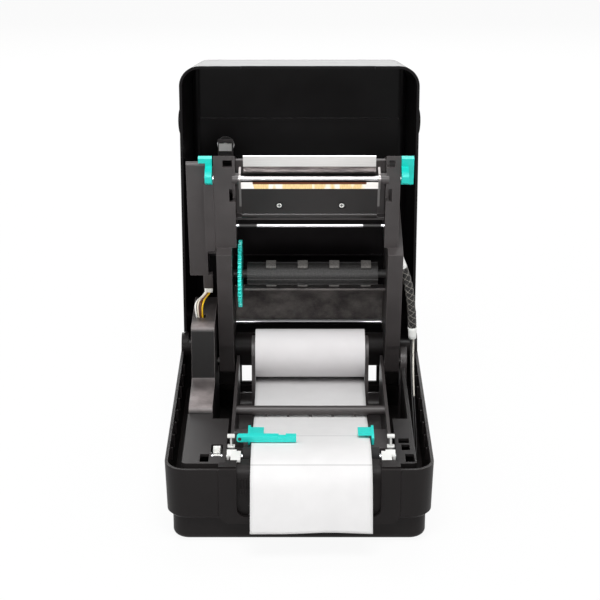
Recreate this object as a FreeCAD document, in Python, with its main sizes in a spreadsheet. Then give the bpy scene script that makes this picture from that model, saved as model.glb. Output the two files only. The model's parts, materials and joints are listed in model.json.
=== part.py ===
import FreeCAD, Part
import math
import os
import Sketcher
from types import SimpleNamespace

# A desktop label printer with a ribbon carriage, lid and carriage open, in millimetres.
# X is to the right, Y to the back and Z up. The origin is the middle of the footprint on the floor.

V = FreeCAD.Vector
doc = FreeCAD.newDocument("label_printer")

# Driving dimensions
SIZES = {
    # case
    "base_width": 226.0,
    "base_depth": 285.0,
    "rim_height": 70.0,
    "rim_corner": 19.0,
    "case_wall": 2.6,
    "case_draft": 1.3,
    "edge_break": 3.0,
    "step_height": 23.0,
    "step_inset": 6.0,
    "plinth_corner": 14.0,
    "plinth_round": 5.0,
    "floor_thick": 2.5,
    "foot_height": 2.0,
    "foot_radius": 8.0,
    "foot_inset": 23.0,
    "fit_gap": 0.3,
    "wall_rib_pitch": 26.0,
    "wall_rib_height": 11.0,
    "wall_rib_depth": 2.0,
    "wall_rib_thick": 1.4,
    # media path
    "media_x": 10.0,
    "media_width": 101.6,
    "bay_width": 134.0,
    "bay_wall": 2.5,
    "bay_floor": 12.0,
    "bay_back": 118.0,
    "bay_back_height": 26.0,
    "bay_wall_top": 67.0,
    "ramp_foot": 10.0,
    "table_back": -28.0,
    "table_front": -92.0,
    "paper_gap": 4.2,
    "slot_low": 28.0,
    "slot_high": 45.0,
    "paper_thick": 0.25,
    "roll_y": 78.0,
    "roll_z": 83.5,
    "roll_radius": 22.5,
    "core_radius": 13.0,
    "core_wall": 1.5,
    "guide_bar_y": 0.0,
    "guide_bar_z": 60.0,
    "guide_bar_radius": 4.2,
    "prong_reach": 5.5,
    "prong_pitch": 20.0,
    "prong_thick": 2.4,
    # platen drive
    "platen_y": -104.3,
    "platen_z": 63.5,
    "platen_radius": 8.5,
    "platen_length": 116.0,
    "shaft_radius": 3.0,
    "running_gap": 0.06,
    "bushing_radius": 6.5,
    "gear_module": 0.8,
    "gear_width": 6.0,
    "gear_x": -73.0,
    "gear_backlash": 0.16,
    "platen_teeth": 22,
    "idler_teeth": 30,
    "pinion_teeth": 12,
    "idler_angle": -36.0,
    "pinion_angle": -16.0,
    "stud_radius": 2.5,
    "motor_side": 35.0,
    "motor_length": 18.0,
    "motor_shaft_radius": 2.0,
    # decks and pillars
    "deck_outer": 98.5,
    "deck_inner_gap": 5.0,
    "deck_front": -130.0,
    "deck_back": -30.0,
    "deck_thick": 2.5,
    "deck_notch_y": -40.0,
    "pillar_width": 21.0,
    "pillar_back": 112.0,
    "pillar_ledge": 77.0,
    "pillar_top": 128.0,
    "pillar_face": 27.0,
    "pillar_lean": 4.0,
    "pillar_round": 5.0,
    "cover_wall": 2.0,
    # lid
    "lid_hinge_y": 130.2,
    "lid_height": 101.0,
    "lid_inset": 2.0,
    "lid_open": 92.2,
    "lid_side_draft": 5.3,
    "lid_front_draft": 14.2,
    "lid_top_round": 9.0,
    "lid_lug_x": 96.0,
    "lid_lug_width": 10.0,
    "lid_lug_radius": 9.5,
    "lid_pin_radius": 2.5,
    "lid_swing_gap": 0.9,
    "exit_notch_width": 123.5,
    "exit_notch_depth": 2.4,
    "rocker_pin_radius": 1.2,
    "grip_length": 28.0,
    "grip_proud": 1.4,
    "grip_sunk": 1.8,
    "grip_height": 9.0,
    "grip_from_front": 52.0,
    "key_x": -72.5,
    "key_from_hinge": 174.0,
    "key_radius": 8.0,
    # carriage, lengths forward of and above its hinge
    "arm_hinge_y": 91.7,
    "carriage_open": 74.6,
    "arm_pin_radius": 4.0,
    "arm_spread": 141.6,
    "arm_thick": 13.7,
    "arm_drop": 8.0,
    "arm_heel": 13.0,
    "arm_waist": 4.2,
    "arm_length": 127.0,
    "frame_length": 225.0,
    "nose_lean": 47.0,
    "frame_low": 4.0,
    "frame_top": 74.0,
    "frame_thick_left": 18.8,
    "frame_thick_right": 12.5,
    "frame_wall": 2.5,
    "head_line": 196.0,
    "head_low": 2.9,
    "head_width": 121.8,
    "head_clear": 10.0,
    "heat_sink_back": 152.0,
    "heat_sink_top": 20.0,
    "ceramic_length": 6.0,
    "ceramic_thick": 1.4,
    "end_plate": 1.9,
    "end_plate_back": 168.0,
    "end_plate_ear": 5.0,
    "bridge_low": 24.0,
    "bridge_front": 208.0,
    "ribbon_rod_out": 149.7,
    "ribbon_rod_up": 6.6,
    "ribbon_rod_radius": 1.5,
    "cross_rod_radius": 2.5,
    "cross_rod_back": -4.3,
    "cross_rod_up": 67.0,
    "partition_radius": 51.0,
    "partition_thick": 2.0,
    "supply_out": 81.3,
    "supply_up": 28.0,
    "supply_radius": 10.0,
    "supply_fin_radius": 12.5,
    "supply_wheel_radius": 31.5,
    "supply_wheel_teeth": 48,
    "take_up_out": 164.0,
    "take_up_up": 46.0,
    "take_up_radius": 10.0,
    "take_up_gear_teeth": 44,
    "ribbon_pinion_teeth": 11,
    "ribbon_motor_radius": 12.0,
    "latch_out": 200.2,
    "latch_up": 6.5,
    "latch_rod_radius": 2.2,
    "latch_arm_height": 5.0,
    "latch_stem_length": 4.8,
    "latch_hook_drop": 14.0,
    "latch_tab_length": 4.7,
    "axle_radius": 4.0,
    "fin_pitch": 29.4,
    "fin_length": 9.2,
    "fin_drop": 5.5,
    "fin_rise": 3.5,
    "ridge_radius": 0.9,
    "ribbon_motor_angle": -25.0,
    "ribbon_shaft_radius": 1.5,
    "latch_arm_thick": 6.0,
    "gearbox_outer": 100.5,
    "gearbox_back": 92.0,
    "gearbox_front": 216.0,
    "gearbox_lean": 44.0,
    "gearbox_low": 10.0,
    "gearbox_top": 74.0,
    "gearbox_step": 23.0,
    "gearbox_neck": 20.0,
    "latch_boss_radius": 4.8,
    # loose pieces
    "sensor_pin_radius": 1.5,
    "holder_thick": 3.0,
    "wire_radius": 0.8,
    "sleeve_radius": 4.2,
}

sheet = doc.addObject("Spreadsheet::Sheet", "sizes")
for row, (name, value) in enumerate(SIZES.items(), 1):
    sheet.set(f"A{row}", name)
    sheet.set(f"B{row}", str(value))
    sheet.setAlias(f"B{row}", name)
doc.recompute()


class Size:
    """A length as an expression over the sheet's cells, together with its value."""

    def __init__(self, text, value):
        self.text = text
        self.value = value

    def joined(self, sign, other, value):
        return Size(f"({self.text} {sign} {other.text})", value)

    def __add__(self, other):
        other = size(other)
        return self.joined("+", other, self.value + other.value)

    def __sub__(self, other):
        other = size(other)
        return self.joined("-", other, self.value - other.value)

    def __mul__(self, other):
        other = size(other)
        return self.joined("*", other, self.value * other.value)

    def __truediv__(self, other):
        other = size(other)
        return self.joined("/", other, self.value / other.value)

    def __radd__(self, other):
        return size(other) + self

    def __rsub__(self, other):
        return size(other) - self

    def __rmul__(self, other):
        return size(other) * self

    def __neg__(self):
        return size(0) - self

    def __float__(self):
        return self.value


def size(value):
    """A plain number as a Size."""
    return value if isinstance(value, Size) else Size(repr(float(value)), float(value))


d = SimpleNamespace(**{name: Size(f"sizes.{name}", float(sheet.get(name))) for name in SIZES})
nodes = {}


# Modelling helpers

def bind(obj, prop, value):
    obj.setExpression(prop, size(value).text)


def place(obj, x, y, z):
    for letter, value in zip("xyz", (x, y, z)):
        bind(obj, f"Placement.Base.{letter}", value)


def block(x, y, z):
    """A box between two values on each axis."""
    obj = doc.addObject("Part::Box", "Block")
    for prop, (low, high) in zip(("Length", "Width", "Height"), (x, y, z)):
        bind(obj, prop, high - low)
    place(obj, x[0], y[0], z[0])
    return obj


TURN = {
    "x": FreeCAD.Rotation(V(0, 1, 0), 90),
    "y": FreeCAD.Rotation(V(1, 0, 0), -90),
    "z": FreeCAD.Rotation(),
}


def rod(axis, radius, span, at):
    """A cylinder along an axis, at the two other coordinates."""
    obj = doc.addObject("Part::Cylinder", "Rod")
    bind(obj, "Radius", radius)
    bind(obj, "Height", span[1] - span[0])
    obj.Placement = FreeCAD.Placement(V(), TURN[axis])
    spot = list(at)
    spot.insert("xyz".index(axis), span[0])
    place(obj, *spot)
    return obj


def fuse(*parts):
    if len(parts) == 1:
        return parts[0]
    obj = doc.addObject("Part::MultiFuse", "Joined")
    obj.Shapes = list(parts)
    return obj


def common(*parts):
    obj = doc.addObject("Part::MultiCommon", "Shared")
    obj.Shapes = list(parts)
    return obj


def cut(base, *tools):
    obj = doc.addObject("Part::Cut", "Pierced")
    obj.Base = base
    obj.Tool = fuse(*tools)
    return obj


def group(*parts):
    obj = doc.addObject("Part::Compound", "Group")
    obj.Links = list(parts)
    return obj


def tube(axis, outer, inner, span, at):
    return cut(rod(axis, outer, span, at), rod(axis, inner, (span[0] - 1, span[1] + 1), at))


PLANE = {"x": "YZ_Plane", "y": "XZ_Plane", "z": "XY_Plane"}
ACROSS = {"x": ("y", "z"), "y": ("x", "z"), "z": ("x", "y")}


def new_sketch(body, axis, start):
    """A sketch on the body's own plane across an axis, moved along it."""
    sketch = body.newObject("Sketcher::SketchObject", "Sketch")
    plane = next(f for f in body.Origin.OriginFeatures if f.Role == PLANE[axis])
    sketch.AttachmentSupport = [(plane, "")]
    sketch.MapMode = "FlatFace"
    bind(sketch, "AttachmentOffset.Base.z", start)
    return sketch


def draw_outline(sketch, outline):
    """A closed outline of straight lines whose corners are bound to the sheet."""
    count = len(outline)
    spots = [V(float(u), float(v), 0) for u, v in outline]
    for n in range(count):
        sketch.addGeometry(Part.LineSegment(spots[n], spots[(n + 1) % count]), False)
    rules = [Sketcher.Constraint("Coincident", n, 2, (n + 1) % count, 1) for n in range(count)]
    for n, spot in enumerate(spots):
        rules.append(Sketcher.Constraint("DistanceX", -1, 1, n, 1, spot.x))
        rules.append(Sketcher.Constraint("DistanceY", -1, 1, n, 1, spot.y))
    sketch.addConstraint(rules)
    for n, (u, v) in enumerate(outline):
        bind(sketch, f"Constraints[{count + 2 * n}]", u)
        bind(sketch, f"Constraints[{count + 2 * n + 1}]", v)


def draw_rounded(sketch, x, y, corner):
    """A rectangle with round corners, bound to the sheet."""
    left, right, low, high, r = (float(value) for value in (*x, *y, corner))
    sides = (
        ((left + r, low), (right - r, low)),
        ((right, low + r), (right, high - r)),
        ((right - r, high), (left + r, high)),
        ((left, high - r), (left, low + r)),
    )
    centres = ((right - r, low + r), (right - r, high - r), (left + r, high - r), (left + r, low + r))
    for start, end in sides:
        sketch.addGeometry(Part.LineSegment(V(*start, 0), V(*end, 0)), False)
    for n, centre in enumerate(centres):
        circle = Part.Circle(V(*centre, 0), V(0, 0, 1), r)
        first = math.pi / 2 * (n - 1)
        sketch.addGeometry(Part.ArcOfCircle(circle, first, first + math.pi / 2), False)
    rules = [Sketcher.Constraint(kind, n) for n, kind in enumerate(("Horizontal", "Vertical") * 2)]
    for n in range(4):
        rules.append(Sketcher.Constraint("Tangent", n, 2, 4 + n, 1))
        rules.append(Sketcher.Constraint("Tangent", 4 + n, 2, (n + 1) % 4, 1))
    rules += [Sketcher.Constraint("Equal", 4, n) for n in (5, 6, 7)]
    sketch.addConstraint(rules)
    sketch.addConstraint([
        Sketcher.Constraint("Radius", 4, r),
        Sketcher.Constraint("DistanceY", -1, 1, 0, 1, low),
        Sketcher.Constraint("DistanceX", -1, 1, 1, 1, right),
        Sketcher.Constraint("DistanceY", -1, 1, 2, 1, high),
        Sketcher.Constraint("DistanceX", -1, 1, 3, 1, left),
    ])
    for n, value in enumerate((corner, y[0], x[1], y[1], x[0])):
        bind(sketch, f"Constraints[{len(rules) + n}]", value)


def round_edges(body, base, radius, test):
    """A fillet on the edges of a body's last feature that pass a test."""
    names = [f"Edge{n}" for n, edge in enumerate(base.Shape.Edges, 1) if test(edge)]
    fillet = body.newObject("PartDesign::Fillet", "Fillet")
    fillet.Base = (base, names)
    bind(fillet, "Radius", radius)
    doc.recompute()
    return fillet


def at_corner(axis, u, v):
    """A test for the edges along an axis that stand at one corner of an outline."""
    first, second = ACROSS[axis]

    def test(edge):
        ends = [vertex.Point for vertex in edge.Vertexes]
        return all(abs(getattr(p, first) - u) < 1e-4 and abs(getattr(p, second) - v) < 1e-4 for p in ends)

    return test


def pad(body, sketch, length):
    feature = body.newObject("PartDesign::Pad", "Pad")
    feature.Profile = sketch
    bind(feature, "Length", length)
    doc.recompute()
    return feature


def plate(axis, outline, span, rounds=None):
    """An outline padded along an axis; rounds gives a radius for a corner's number."""
    body = doc.addObject("PartDesign::Body", "Body")
    start = -span[1] if axis == "y" else span[0]
    sketch = new_sketch(body, axis, start)
    draw_outline(sketch, [(size(u), size(v)) for u, v in outline])
    feature = pad(body, sketch, span[1] - span[0])
    for corner, radius in (rounds or {}).items():
        u, v = outline[corner]
        feature = round_edges(body, feature, radius, at_corner(axis, float(u), float(v)))
    return body


def rounded_block(x, y, z, corner, bottom=None):
    """A box with round upright corners and, if asked, a round bottom edge."""
    body = doc.addObject("PartDesign::Body", "Body")
    sketch = new_sketch(body, "z", z[0])
    draw_rounded(sketch, x, y, corner)
    feature = pad(body, sketch, z[1] - z[0])
    if bottom:
        low = float(z[0])
        round_edges(body, feature, bottom, lambda edge: all(abs(p.Z - low) < 1e-4 for p in edge.Vertexes))
    return body


def tapered_block(sections):
    """A loft through rounded rectangles, each given as its x, y, z and corner."""
    body = doc.addObject("PartDesign::Body", "Body")
    sketches = []
    for x, y, z, corner in sections:
        sketch = new_sketch(body, "z", z)
        draw_rounded(sketch, x, y, corner)
        sketches.append(sketch)
    loft = body.newObject("PartDesign::AdditiveLoft", "Loft")
    loft.Profile = sketches[0]
    loft.Sections = sketches[1:]
    loft.Ruled = True
    doc.recompute()
    return body


def spread(middle, width):
    """The two ends of a width about its middle."""
    return middle - width / 2, middle + width / 2


def grown(span, amount):
    return span[0] - amount, span[1] + amount


def node(name, obj):
    obj.Label = name
    nodes[name] = obj
    return obj


def swing(obj, hinge, angle):
    """Stands a piece that was made about its hinge, closed, at its open angle."""
    carrier = group(obj)
    carrier.Placement = FreeCAD.Placement(V(), FreeCAD.Rotation(V(-1, 0, 0), float(angle)))
    place(carrier, 0, *hinge)
    return carrier


LID_HINGE = (d.lid_hinge_y, d.rim_height)
ARM_HINGE = (d.arm_hinge_y, d.rim_height)


def lid_node(name, obj):
    return node(name, swing(obj, LID_HINGE, d.lid_open))


def arm_node(name, obj):
    return node(name, swing(obj, ARM_HINGE, d.carriage_open))


def involute(angle):
    return math.tan(angle) - angle


def gear_face(teeth, module, backlash, turn):
    """The flat face of a spur gear; turn is the angle of its first tooth."""
    pressure = math.radians(20)
    pitch = teeth * module / 2
    base = pitch * math.cos(pressure)
    root = pitch - 1.25 * module
    tip = pitch + 0.95 * module
    radii = [max(root, base) + (tip - max(root, base)) * step / 2 for step in range(3)]
    points = []
    for tooth in range(teeth):
        middle = turn + 2 * math.pi * tooth / teeth
        halves = []
        for radius in radii:
            lean = involute(pressure) - involute(math.acos(min(1, base / radius)))
            halves.append(math.pi / 2 / teeth + lean - backlash / 2 / pitch)
        flank = [(root, halves[0])] + list(zip(radii, halves))
        points += [(r, middle - half) for r, half in flank]
        points += [(r, middle + half) for r, half in reversed(flank)]
    spots = [V(0, r * math.cos(a), r * math.sin(a)) for r, a in points]
    return Part.Face(Part.makePolygon(spots + spots[:1]))


def gear(teeth, span, at, bore, turn=0.0, module=d.gear_module):
    """A spur gear along X, read from the sheet, with its bore."""
    face = gear_face(int(float(teeth)), float(module), float(d.gear_backlash), turn)
    solid = face.extrude(V(float(span[1] - span[0]), 0, 0))
    hole = Part.makeCylinder(float(bore), float(span[1] - span[0]), V(), V(1, 0, 0))
    obj = doc.addObject("Part::Feature", "Gear")
    obj.Shape = solid.cut(hole)
    place(obj, span[0], *at)
    return obj


def pipe(points, radius):
    """A round cord along straight runs joined by arcs as large as the runs allow."""
    spots = [V(*(float(c) for c in p)) for p in points]
    edges = []
    at = spots[0]
    for n in range(1, len(spots) - 1):
        back = spots[n - 1] - spots[n]
        ahead = spots[n + 1] - spots[n]
        reach = 0.45 * min(back.Length, ahead.Length)
        start = spots[n] + back.normalize() * reach
        end = spots[n] + ahead.normalize() * reach
        turn = math.pi - back.getAngle(ahead)
        bend = reach / math.tan(turn / 2)
        middle = spots[n] + (back + ahead).normalize() * (bend / math.cos(turn / 2) - bend)
        edges.append(Part.LineSegment(at, start).toShape())
        edges.append(Part.Arc(start, middle, end).toShape())
        at = end
    edges.append(Part.LineSegment(at, spots[-1]).toShape())
    path = Part.Wire(edges)
    circle = Part.Wire(Part.makeCircle(float(radius), spots[0], spots[1] - spots[0]))
    solid = path.makePipeShell([circle], True, False)
    expected = math.pi * float(radius) ** 2 * path.Length
    print(f"cord {path.Length:.1f} mm, volume {solid.Volume / expected:.4f} of section times length")
    obj = doc.addObject("Part::Feature", "Cord")
    obj.Shape = solid
    return obj


# Shared places

HALF_WIDTH = d.base_width / 2
HALF_DEPTH = d.base_depth / 2
CASE_X = (-HALF_WIDTH, HALF_WIDTH)
CASE_Y = (-HALF_DEPTH, HALF_DEPTH)
PLINTH_X = grown(CASE_X, -d.step_inset)
PLINTH_Y = grown(CASE_Y, -d.step_inset)
FLOOR = d.foot_height + d.floor_thick
MEDIA_X = spread(d.media_x, d.media_width)
BAY_X = spread(d.media_x, d.bay_width)
ARM_X = spread(d.media_x - 0.5, d.arm_spread)
HEAD_X = spread(d.media_x - 0.95, d.head_width)
PLATEN = (d.platen_y, d.platen_z)
ROLL = (d.roll_y, d.roll_z)
PANEL_X = (d.media_x - 77.5, d.media_x + 74.5)
CHANNEL_X = spread(d.media_x - 2, 121.0)
BARREL = HALF_DEPTH - d.lid_hinge_y
LUGS_X = (
    (-d.lid_lug_x - d.lid_lug_width, -d.lid_lug_x),
    (d.lid_lug_x, d.lid_lug_x + d.lid_lug_width),
)
PAPER_TOP = d.platen_z + d.platen_radius


# Case

def lower_case():
    """The plinth: a tray with screw towers and the openings of the rear sockets."""
    tray = rounded_block(PLINTH_X, PLINTH_Y, (d.foot_height, d.step_height), d.plinth_corner, d.plinth_round)
    room = rounded_block(
        grown(PLINTH_X, -d.case_wall), grown(PLINTH_Y, -d.case_wall),
        (FLOOR, d.step_height + 1), d.plinth_corner - d.case_wall,
    )
    rear = (PLINTH_Y[1] - 2 * d.case_wall, PLINTH_Y[1] + 1)
    sockets = [
        block(grown(x, d.fit_gap), rear, grown(SOCKET_Z, d.fit_gap))
        for x in (DC_X, USB_X)
    ]
    towers = [
        rod("z", 3.0, (FLOOR - 1, d.step_height - 3), spot) for spot in SCREW_SPOTS
    ]
    holes = [
        rod("z", 1.6, (d.foot_height - 1, d.step_height), spot) for spot in SCREW_SPOTS
    ]
    heads = [
        rod("z", 3.4, (d.foot_height - 1, d.foot_height + 2), spot) for spot in SCREW_SPOTS
    ]
    standoffs = [rod("z", 3.0, (FLOOR - 1, BOARD_Z[0]), spot) for spot in BOARD_SPOTS]
    node("lower_case", cut(fuse(cut(tray, room, *sockets), *towers, *standoffs), *holes, *heads))


DC_X = (size(-40.0), size(-28.0))
USB_X = (size(-14.0), size(-1.5))
BOARD_Z = (FLOOR + 2.5, FLOOR + 4.1)
SOCKET_Z = (BOARD_Z[1], BOARD_Z[1] + 11.5)
BOARD_X = (size(-50.0), size(70.0))
BOARD_Y = (size(16.0), PLINTH_Y[1] - d.case_wall - 1)
BOARD_SPOTS = [(x, y) for x in (BOARD_X[0] + 5, BOARD_X[1] - 5) for y in (BOARD_Y[0] + 5, BOARD_Y[1] - 8)]
SCREW_SPOTS = [(x, y) for x in (PLINTH_X[0] + 5.1, PLINTH_X[1] - 5.1) for y in (size(-84.0), size(60.0))]


def middle_case():
    """The upper body with its rim, wall ribs, hinge barrel, fan-fold slot and panel opening."""
    low = d.step_height
    body = tapered_block([
        (grown(CASE_X, -d.case_draft - d.edge_break), grown(CASE_Y, -d.case_draft - d.edge_break),
         low, d.rim_corner - d.edge_break),
        (grown(CASE_X, -d.case_draft), grown(CASE_Y, -d.case_draft), low + d.edge_break, d.rim_corner),
        (CASE_X, CASE_Y, d.rim_height, d.rim_corner),
    ])
    inset = d.case_draft + d.case_wall
    room = tapered_block([
        (grown(CASE_X, -inset), grown(CASE_Y, -inset), low + d.floor_thick, d.rim_corner - d.case_wall),
        (grown(CASE_X, -d.case_wall), grown(CASE_Y, -d.case_wall), d.rim_height + 0.01,
         d.rim_corner - d.case_wall),
    ])
    mouth = rounded_block(
        grown(PLINTH_X, -d.case_wall), grown(PLINTH_Y, -d.case_wall),
        (low - 1, low + d.floor_thick + 1), d.plinth_corner - d.case_wall,
    )
    ribs = []
    inner = HALF_WIDTH - d.case_wall
    for step in range(-4, 4):
        y = (step + 0.5) * d.wall_rib_pitch
        for side in (-1, 1):
            face = side * (inner + 0.4)
            tip = side * (inner - d.wall_rib_depth)
            x = (face, tip) if side < 0 else (tip, face)
            z = (d.rim_height - 4 - d.wall_rib_height, d.rim_height - 4)
            ribs.append(block(x, spread(y, d.wall_rib_thick), z))
    for x in (-86.0, -74.0, 92.0):
        front = (-HALF_DEPTH + d.case_wall - 0.4, -HALF_DEPTH + d.case_wall + d.wall_rib_depth)
        ribs.append(block(spread(size(x), d.wall_rib_thick), front, (d.rim_height - 13, d.rim_height - 2)))
    barrel = hinge_barrel()
    opening = panel_outline(d.fit_gap, (-HALF_DEPTH - 1, PLINTH_Y[0] + d.case_wall + 1), d.rim_height + 5)
    slot = block(spread(d.media_x - 0.5, 131.0), (HALF_DEPTH - 6, HALF_DEPTH + 1), (d.slot_low, d.slot_high))
    switch_hole = block(
        grown(SWITCH_X, -d.cover_wall), (HALF_DEPTH - 8, HALF_DEPTH + 1), grown(SWITCH_Z, -d.cover_wall))
    shell = cut(body, room, mouth)
    shell = cut(fuse(shell, barrel, *ribs), opening, slot, switch_hole, *hinge_clearance())
    node("middle_case", fuse(shell, switch_well()))


def hinge_barrel():
    """The half-round ridge along the rear rim that holds the lid's pins."""
    inner = BARREL - d.case_wall
    at = LID_HINGE
    skin = cut(
        rod("x", BARREL, CASE_X, at),
        rod("x", inner, grown(CASE_X, -d.case_wall), at),
        block(CASE_X, (at[0] - BARREL - 1, at[0]), (at[1] - BARREL - 1, at[1] - 6)),
        block(
            grown(CASE_X, -d.case_wall), (at[0] - BARREL - 1, at[0] + inner),
            (at[1] - BARREL - 1, at[1] - 6)),
    )
    bosses = []
    for x in LUGS_X:
        for span in ((x[0] - 6, x[0] - 0.2), (x[1] + 0.2, x[1] + 5)):
            bosses.append(rod("x", inner + 0.3, span, at))
    return fuse(skin, *bosses)


def hinge_clearance():
    """The pockets of the two lid lugs and the bores of their pins."""
    tools = []
    low = d.rim_height - d.lid_lug_radius - d.lid_swing_gap
    for x in LUGS_X:
        y = (d.lid_hinge_y - d.lid_lug_radius - d.lid_swing_gap, HALF_DEPTH + 1)
        tools.append(block(grown(x, d.fit_gap), y, (low, d.rim_height + BARREL + 1)))
        tools.append(rod("x", d.lid_pin_radius, (x[0] - 5, x[1] + 4), LID_HINGE))
    return tools


def panel_outline(gap, y, top):
    """The U-shaped outline of the front panel, grown by a gap."""
    x = grown(PANEL_X, gap)
    low = PANEL_LOW - gap
    outline = [(x[0], low), (x[1], low), (x[1], top), (x[0], top)]
    return plate("y", outline, y, {0: PANEL_ROUND, 1: PANEL_ROUND})


PANEL_LOW = size(20.0)
PANEL_ROUND = size(10.0)
PANEL_THICK = size(3.5)
CHUTE_Y = -HALF_DEPTH + 4.5
CHUTE_TOP = size(68.0)
CHUTE_BACK = size(-117.0)
EAR_BACK = d.platen_y - 21.6
CHUTE_ROUND = size(10.0)
CHUTE_LOW = size(26.0)
CHUTE_FOOT = d.step_height + 0.2


def front_panel():
    """The removable panel: a U-shaped face, a curved chute for the label and two top blocks."""
    face = panel_outline(size(0), (-HALF_DEPTH, -HALF_DEPTH + PANEL_THICK), d.rim_height)
    x = CHANNEL_X
    window = plate(
        "y", [(x[0], CHUTE_LOW), (x[1], CHUTE_LOW), (x[1], d.rim_height + 1), (x[0], d.rim_height + 1)],
        (-HALF_DEPTH - 1, -HALF_DEPTH + PANEL_THICK + 1), {0: size(8.0), 1: size(8.0)},
    )
    inner = CHUTE_Y + d.bay_wall
    chute = plate(
        "x",
        [(CHUTE_Y, CHUTE_FOOT), (inner, CHUTE_FOOT), (inner, CHUTE_TOP - d.bay_wall),
         (CHUTE_BACK, CHUTE_TOP - d.bay_wall), (CHUTE_BACK, CHUTE_TOP), (CHUTE_Y, CHUTE_TOP)],
        x, {5: CHUTE_ROUND, 2: CHUTE_ROUND - d.bay_wall},
    )
    foot = block(x, (-HALF_DEPTH + 1, inner), (CHUTE_FOOT, CHUTE_LOW - 0.5))
    ears = []
    for ear, rear_x in (
        ((PANEL_X[0], x[0]), (BAY_X[0] - d.deck_inner_gap + d.fit_gap, x[0])),
        ((x[1], PANEL_X[1]), (x[1], BAY_X[1] + d.deck_inner_gap - d.fit_gap)),
    ):
        low = CHUTE_TOP - 14
        behind_lid = -HALF_DEPTH + d.case_wall + d.lid_swing_gap
        ears.append(block(ear, (-HALF_DEPTH, behind_lid), (low, d.rim_height)))
        ears.append(block(ear, (behind_lid, d.deck_front - d.fit_gap), (low, d.rim_height + 1.2)))
        ears.append(block(rear_x, (behind_lid, EAR_BACK), (low, d.rim_height + 1.2)))
    cheeks = []
    for cheek in ((x[0] - d.bay_wall, x[0]), (x[1], x[1] + d.bay_wall)):
        cheeks.append(block(cheek, (-HALF_DEPTH + 1, inner), (CHUTE_FOOT, CHUTE_TOP - 8)))
    ribs = []
    for n in range(4):
        left = x[0] + 3.0 + 2.2 * n
        ribs.append(block((left, left + 0.9), (CHUTE_Y - 1.2, CHUTE_Y + 0.5), (size(45.0), size(51.0))))
    node("front_panel", fuse(cut(face, window), chute, foot, *ears, *cheeks, *ribs))


def feet():
    """Four rubber feet under the plinth."""
    spots = [
        (x, y)
        for x in (-HALF_WIDTH + d.foot_inset, HALF_WIDTH - d.foot_inset)
        for y in (-HALF_DEPTH + d.foot_inset, HALF_DEPTH - d.foot_inset)
    ]
    node("rubber_feet", group(*[rod("z", d.foot_radius, (size(0), d.foot_height), spot) for spot in spots]))


def case_screws():
    screws = []
    for spot in SCREW_SPOTS:
        head = rod("z", 2.8, (d.foot_height + 0.4, d.foot_height + 2), spot)
        shank = rod("z", 1.5, (d.foot_height + 2, d.step_height - 4), spot)
        screws.append(fuse(head, shank))
    node("case_screws", group(*screws))


SWITCH_X = (HALF_WIDTH - 29, HALF_WIDTH - 10)
SWITCH_Z = (size(36.0), size(49.0))
ROCKER_AT = ((SWITCH_X[0] + SWITCH_X[1]) / 2, HALF_DEPTH - 5)


def switch_well():
    """The well behind the rear wall that the power rocker tilts in."""
    well = cut(
        block(SWITCH_X, (ROCKER_AT[1] - 8, HALF_DEPTH - 1), SWITCH_Z),
        block(grown(SWITCH_X, -d.cover_wall), (ROCKER_AT[1] - 6, HALF_DEPTH), grown(SWITCH_Z, -d.cover_wall)),
    )
    return cut(well, rod("z", d.rocker_pin_radius + d.running_gap, grown(SWITCH_Z, -0.8), ROCKER_AT))


def power_rocker():
    x = grown(SWITCH_X, -d.cover_wall - 1.0)
    y = ROCKER_AT[1]
    body = plate(
        "z",
        [(x[0] + 1, y - 2.5), (x[1] - 1, y - 2.5), (x[1], y + 1.2), (ROCKER_AT[0] + 1, y + 2.4),
         (x[0], y + 3.9)],
        grown(SWITCH_Z, -d.cover_wall - d.fit_gap),
    )
    axle = rod("z", d.rocker_pin_radius, grown(SWITCH_Z, -1.0), ROCKER_AT)
    node("power_rocker", fuse(body, axle))


def main_board():
    """The main board on its standoffs, with the power inlet and the data socket at its rear edge."""
    holes = [rod("z", 1.6, grown(BOARD_Z, 1.0), spot) for spot in BOARD_SPOTS]
    node("main_board", cut(block(BOARD_X, BOARD_Y, BOARD_Z), *holes))
    rear = PLINTH_Y[1] - 0.6
    centre = ((DC_X[0] + DC_X[1]) / 2, (SOCKET_Z[0] + SOCKET_Z[1]) / 2)
    inlet = cut(block(DC_X, (rear - 14, rear), SOCKET_Z), rod("y", 3.2, (rear - 10, rear + 1), centre))
    node("power_inlet", fuse(inlet, rod("y", 0.9, (rear - 11, rear - 1), centre)))
    mouth = block(grown(USB_X, -2.0), (rear - 9, rear + 1), grown(SOCKET_Z, -1.6))
    tongue = block(grown(USB_X, -4.0), (rear - 10, rear - 1), grown(SOCKET_Z, -4.2))
    node("data_socket", fuse(cut(block(USB_X, (rear - 16, rear), SOCKET_Z), mouth), tongue))


# Media bay and decks

TABLE_RISE = size(11.6)


def table_height(y):
    """The label table's top at a place along its slope."""
    front_z = PAPER_TOP - d.paper_gap - 1.9
    slope = TABLE_RISE / (d.table_back - d.table_front)
    return front_z - (y - d.table_front) * slope


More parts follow.
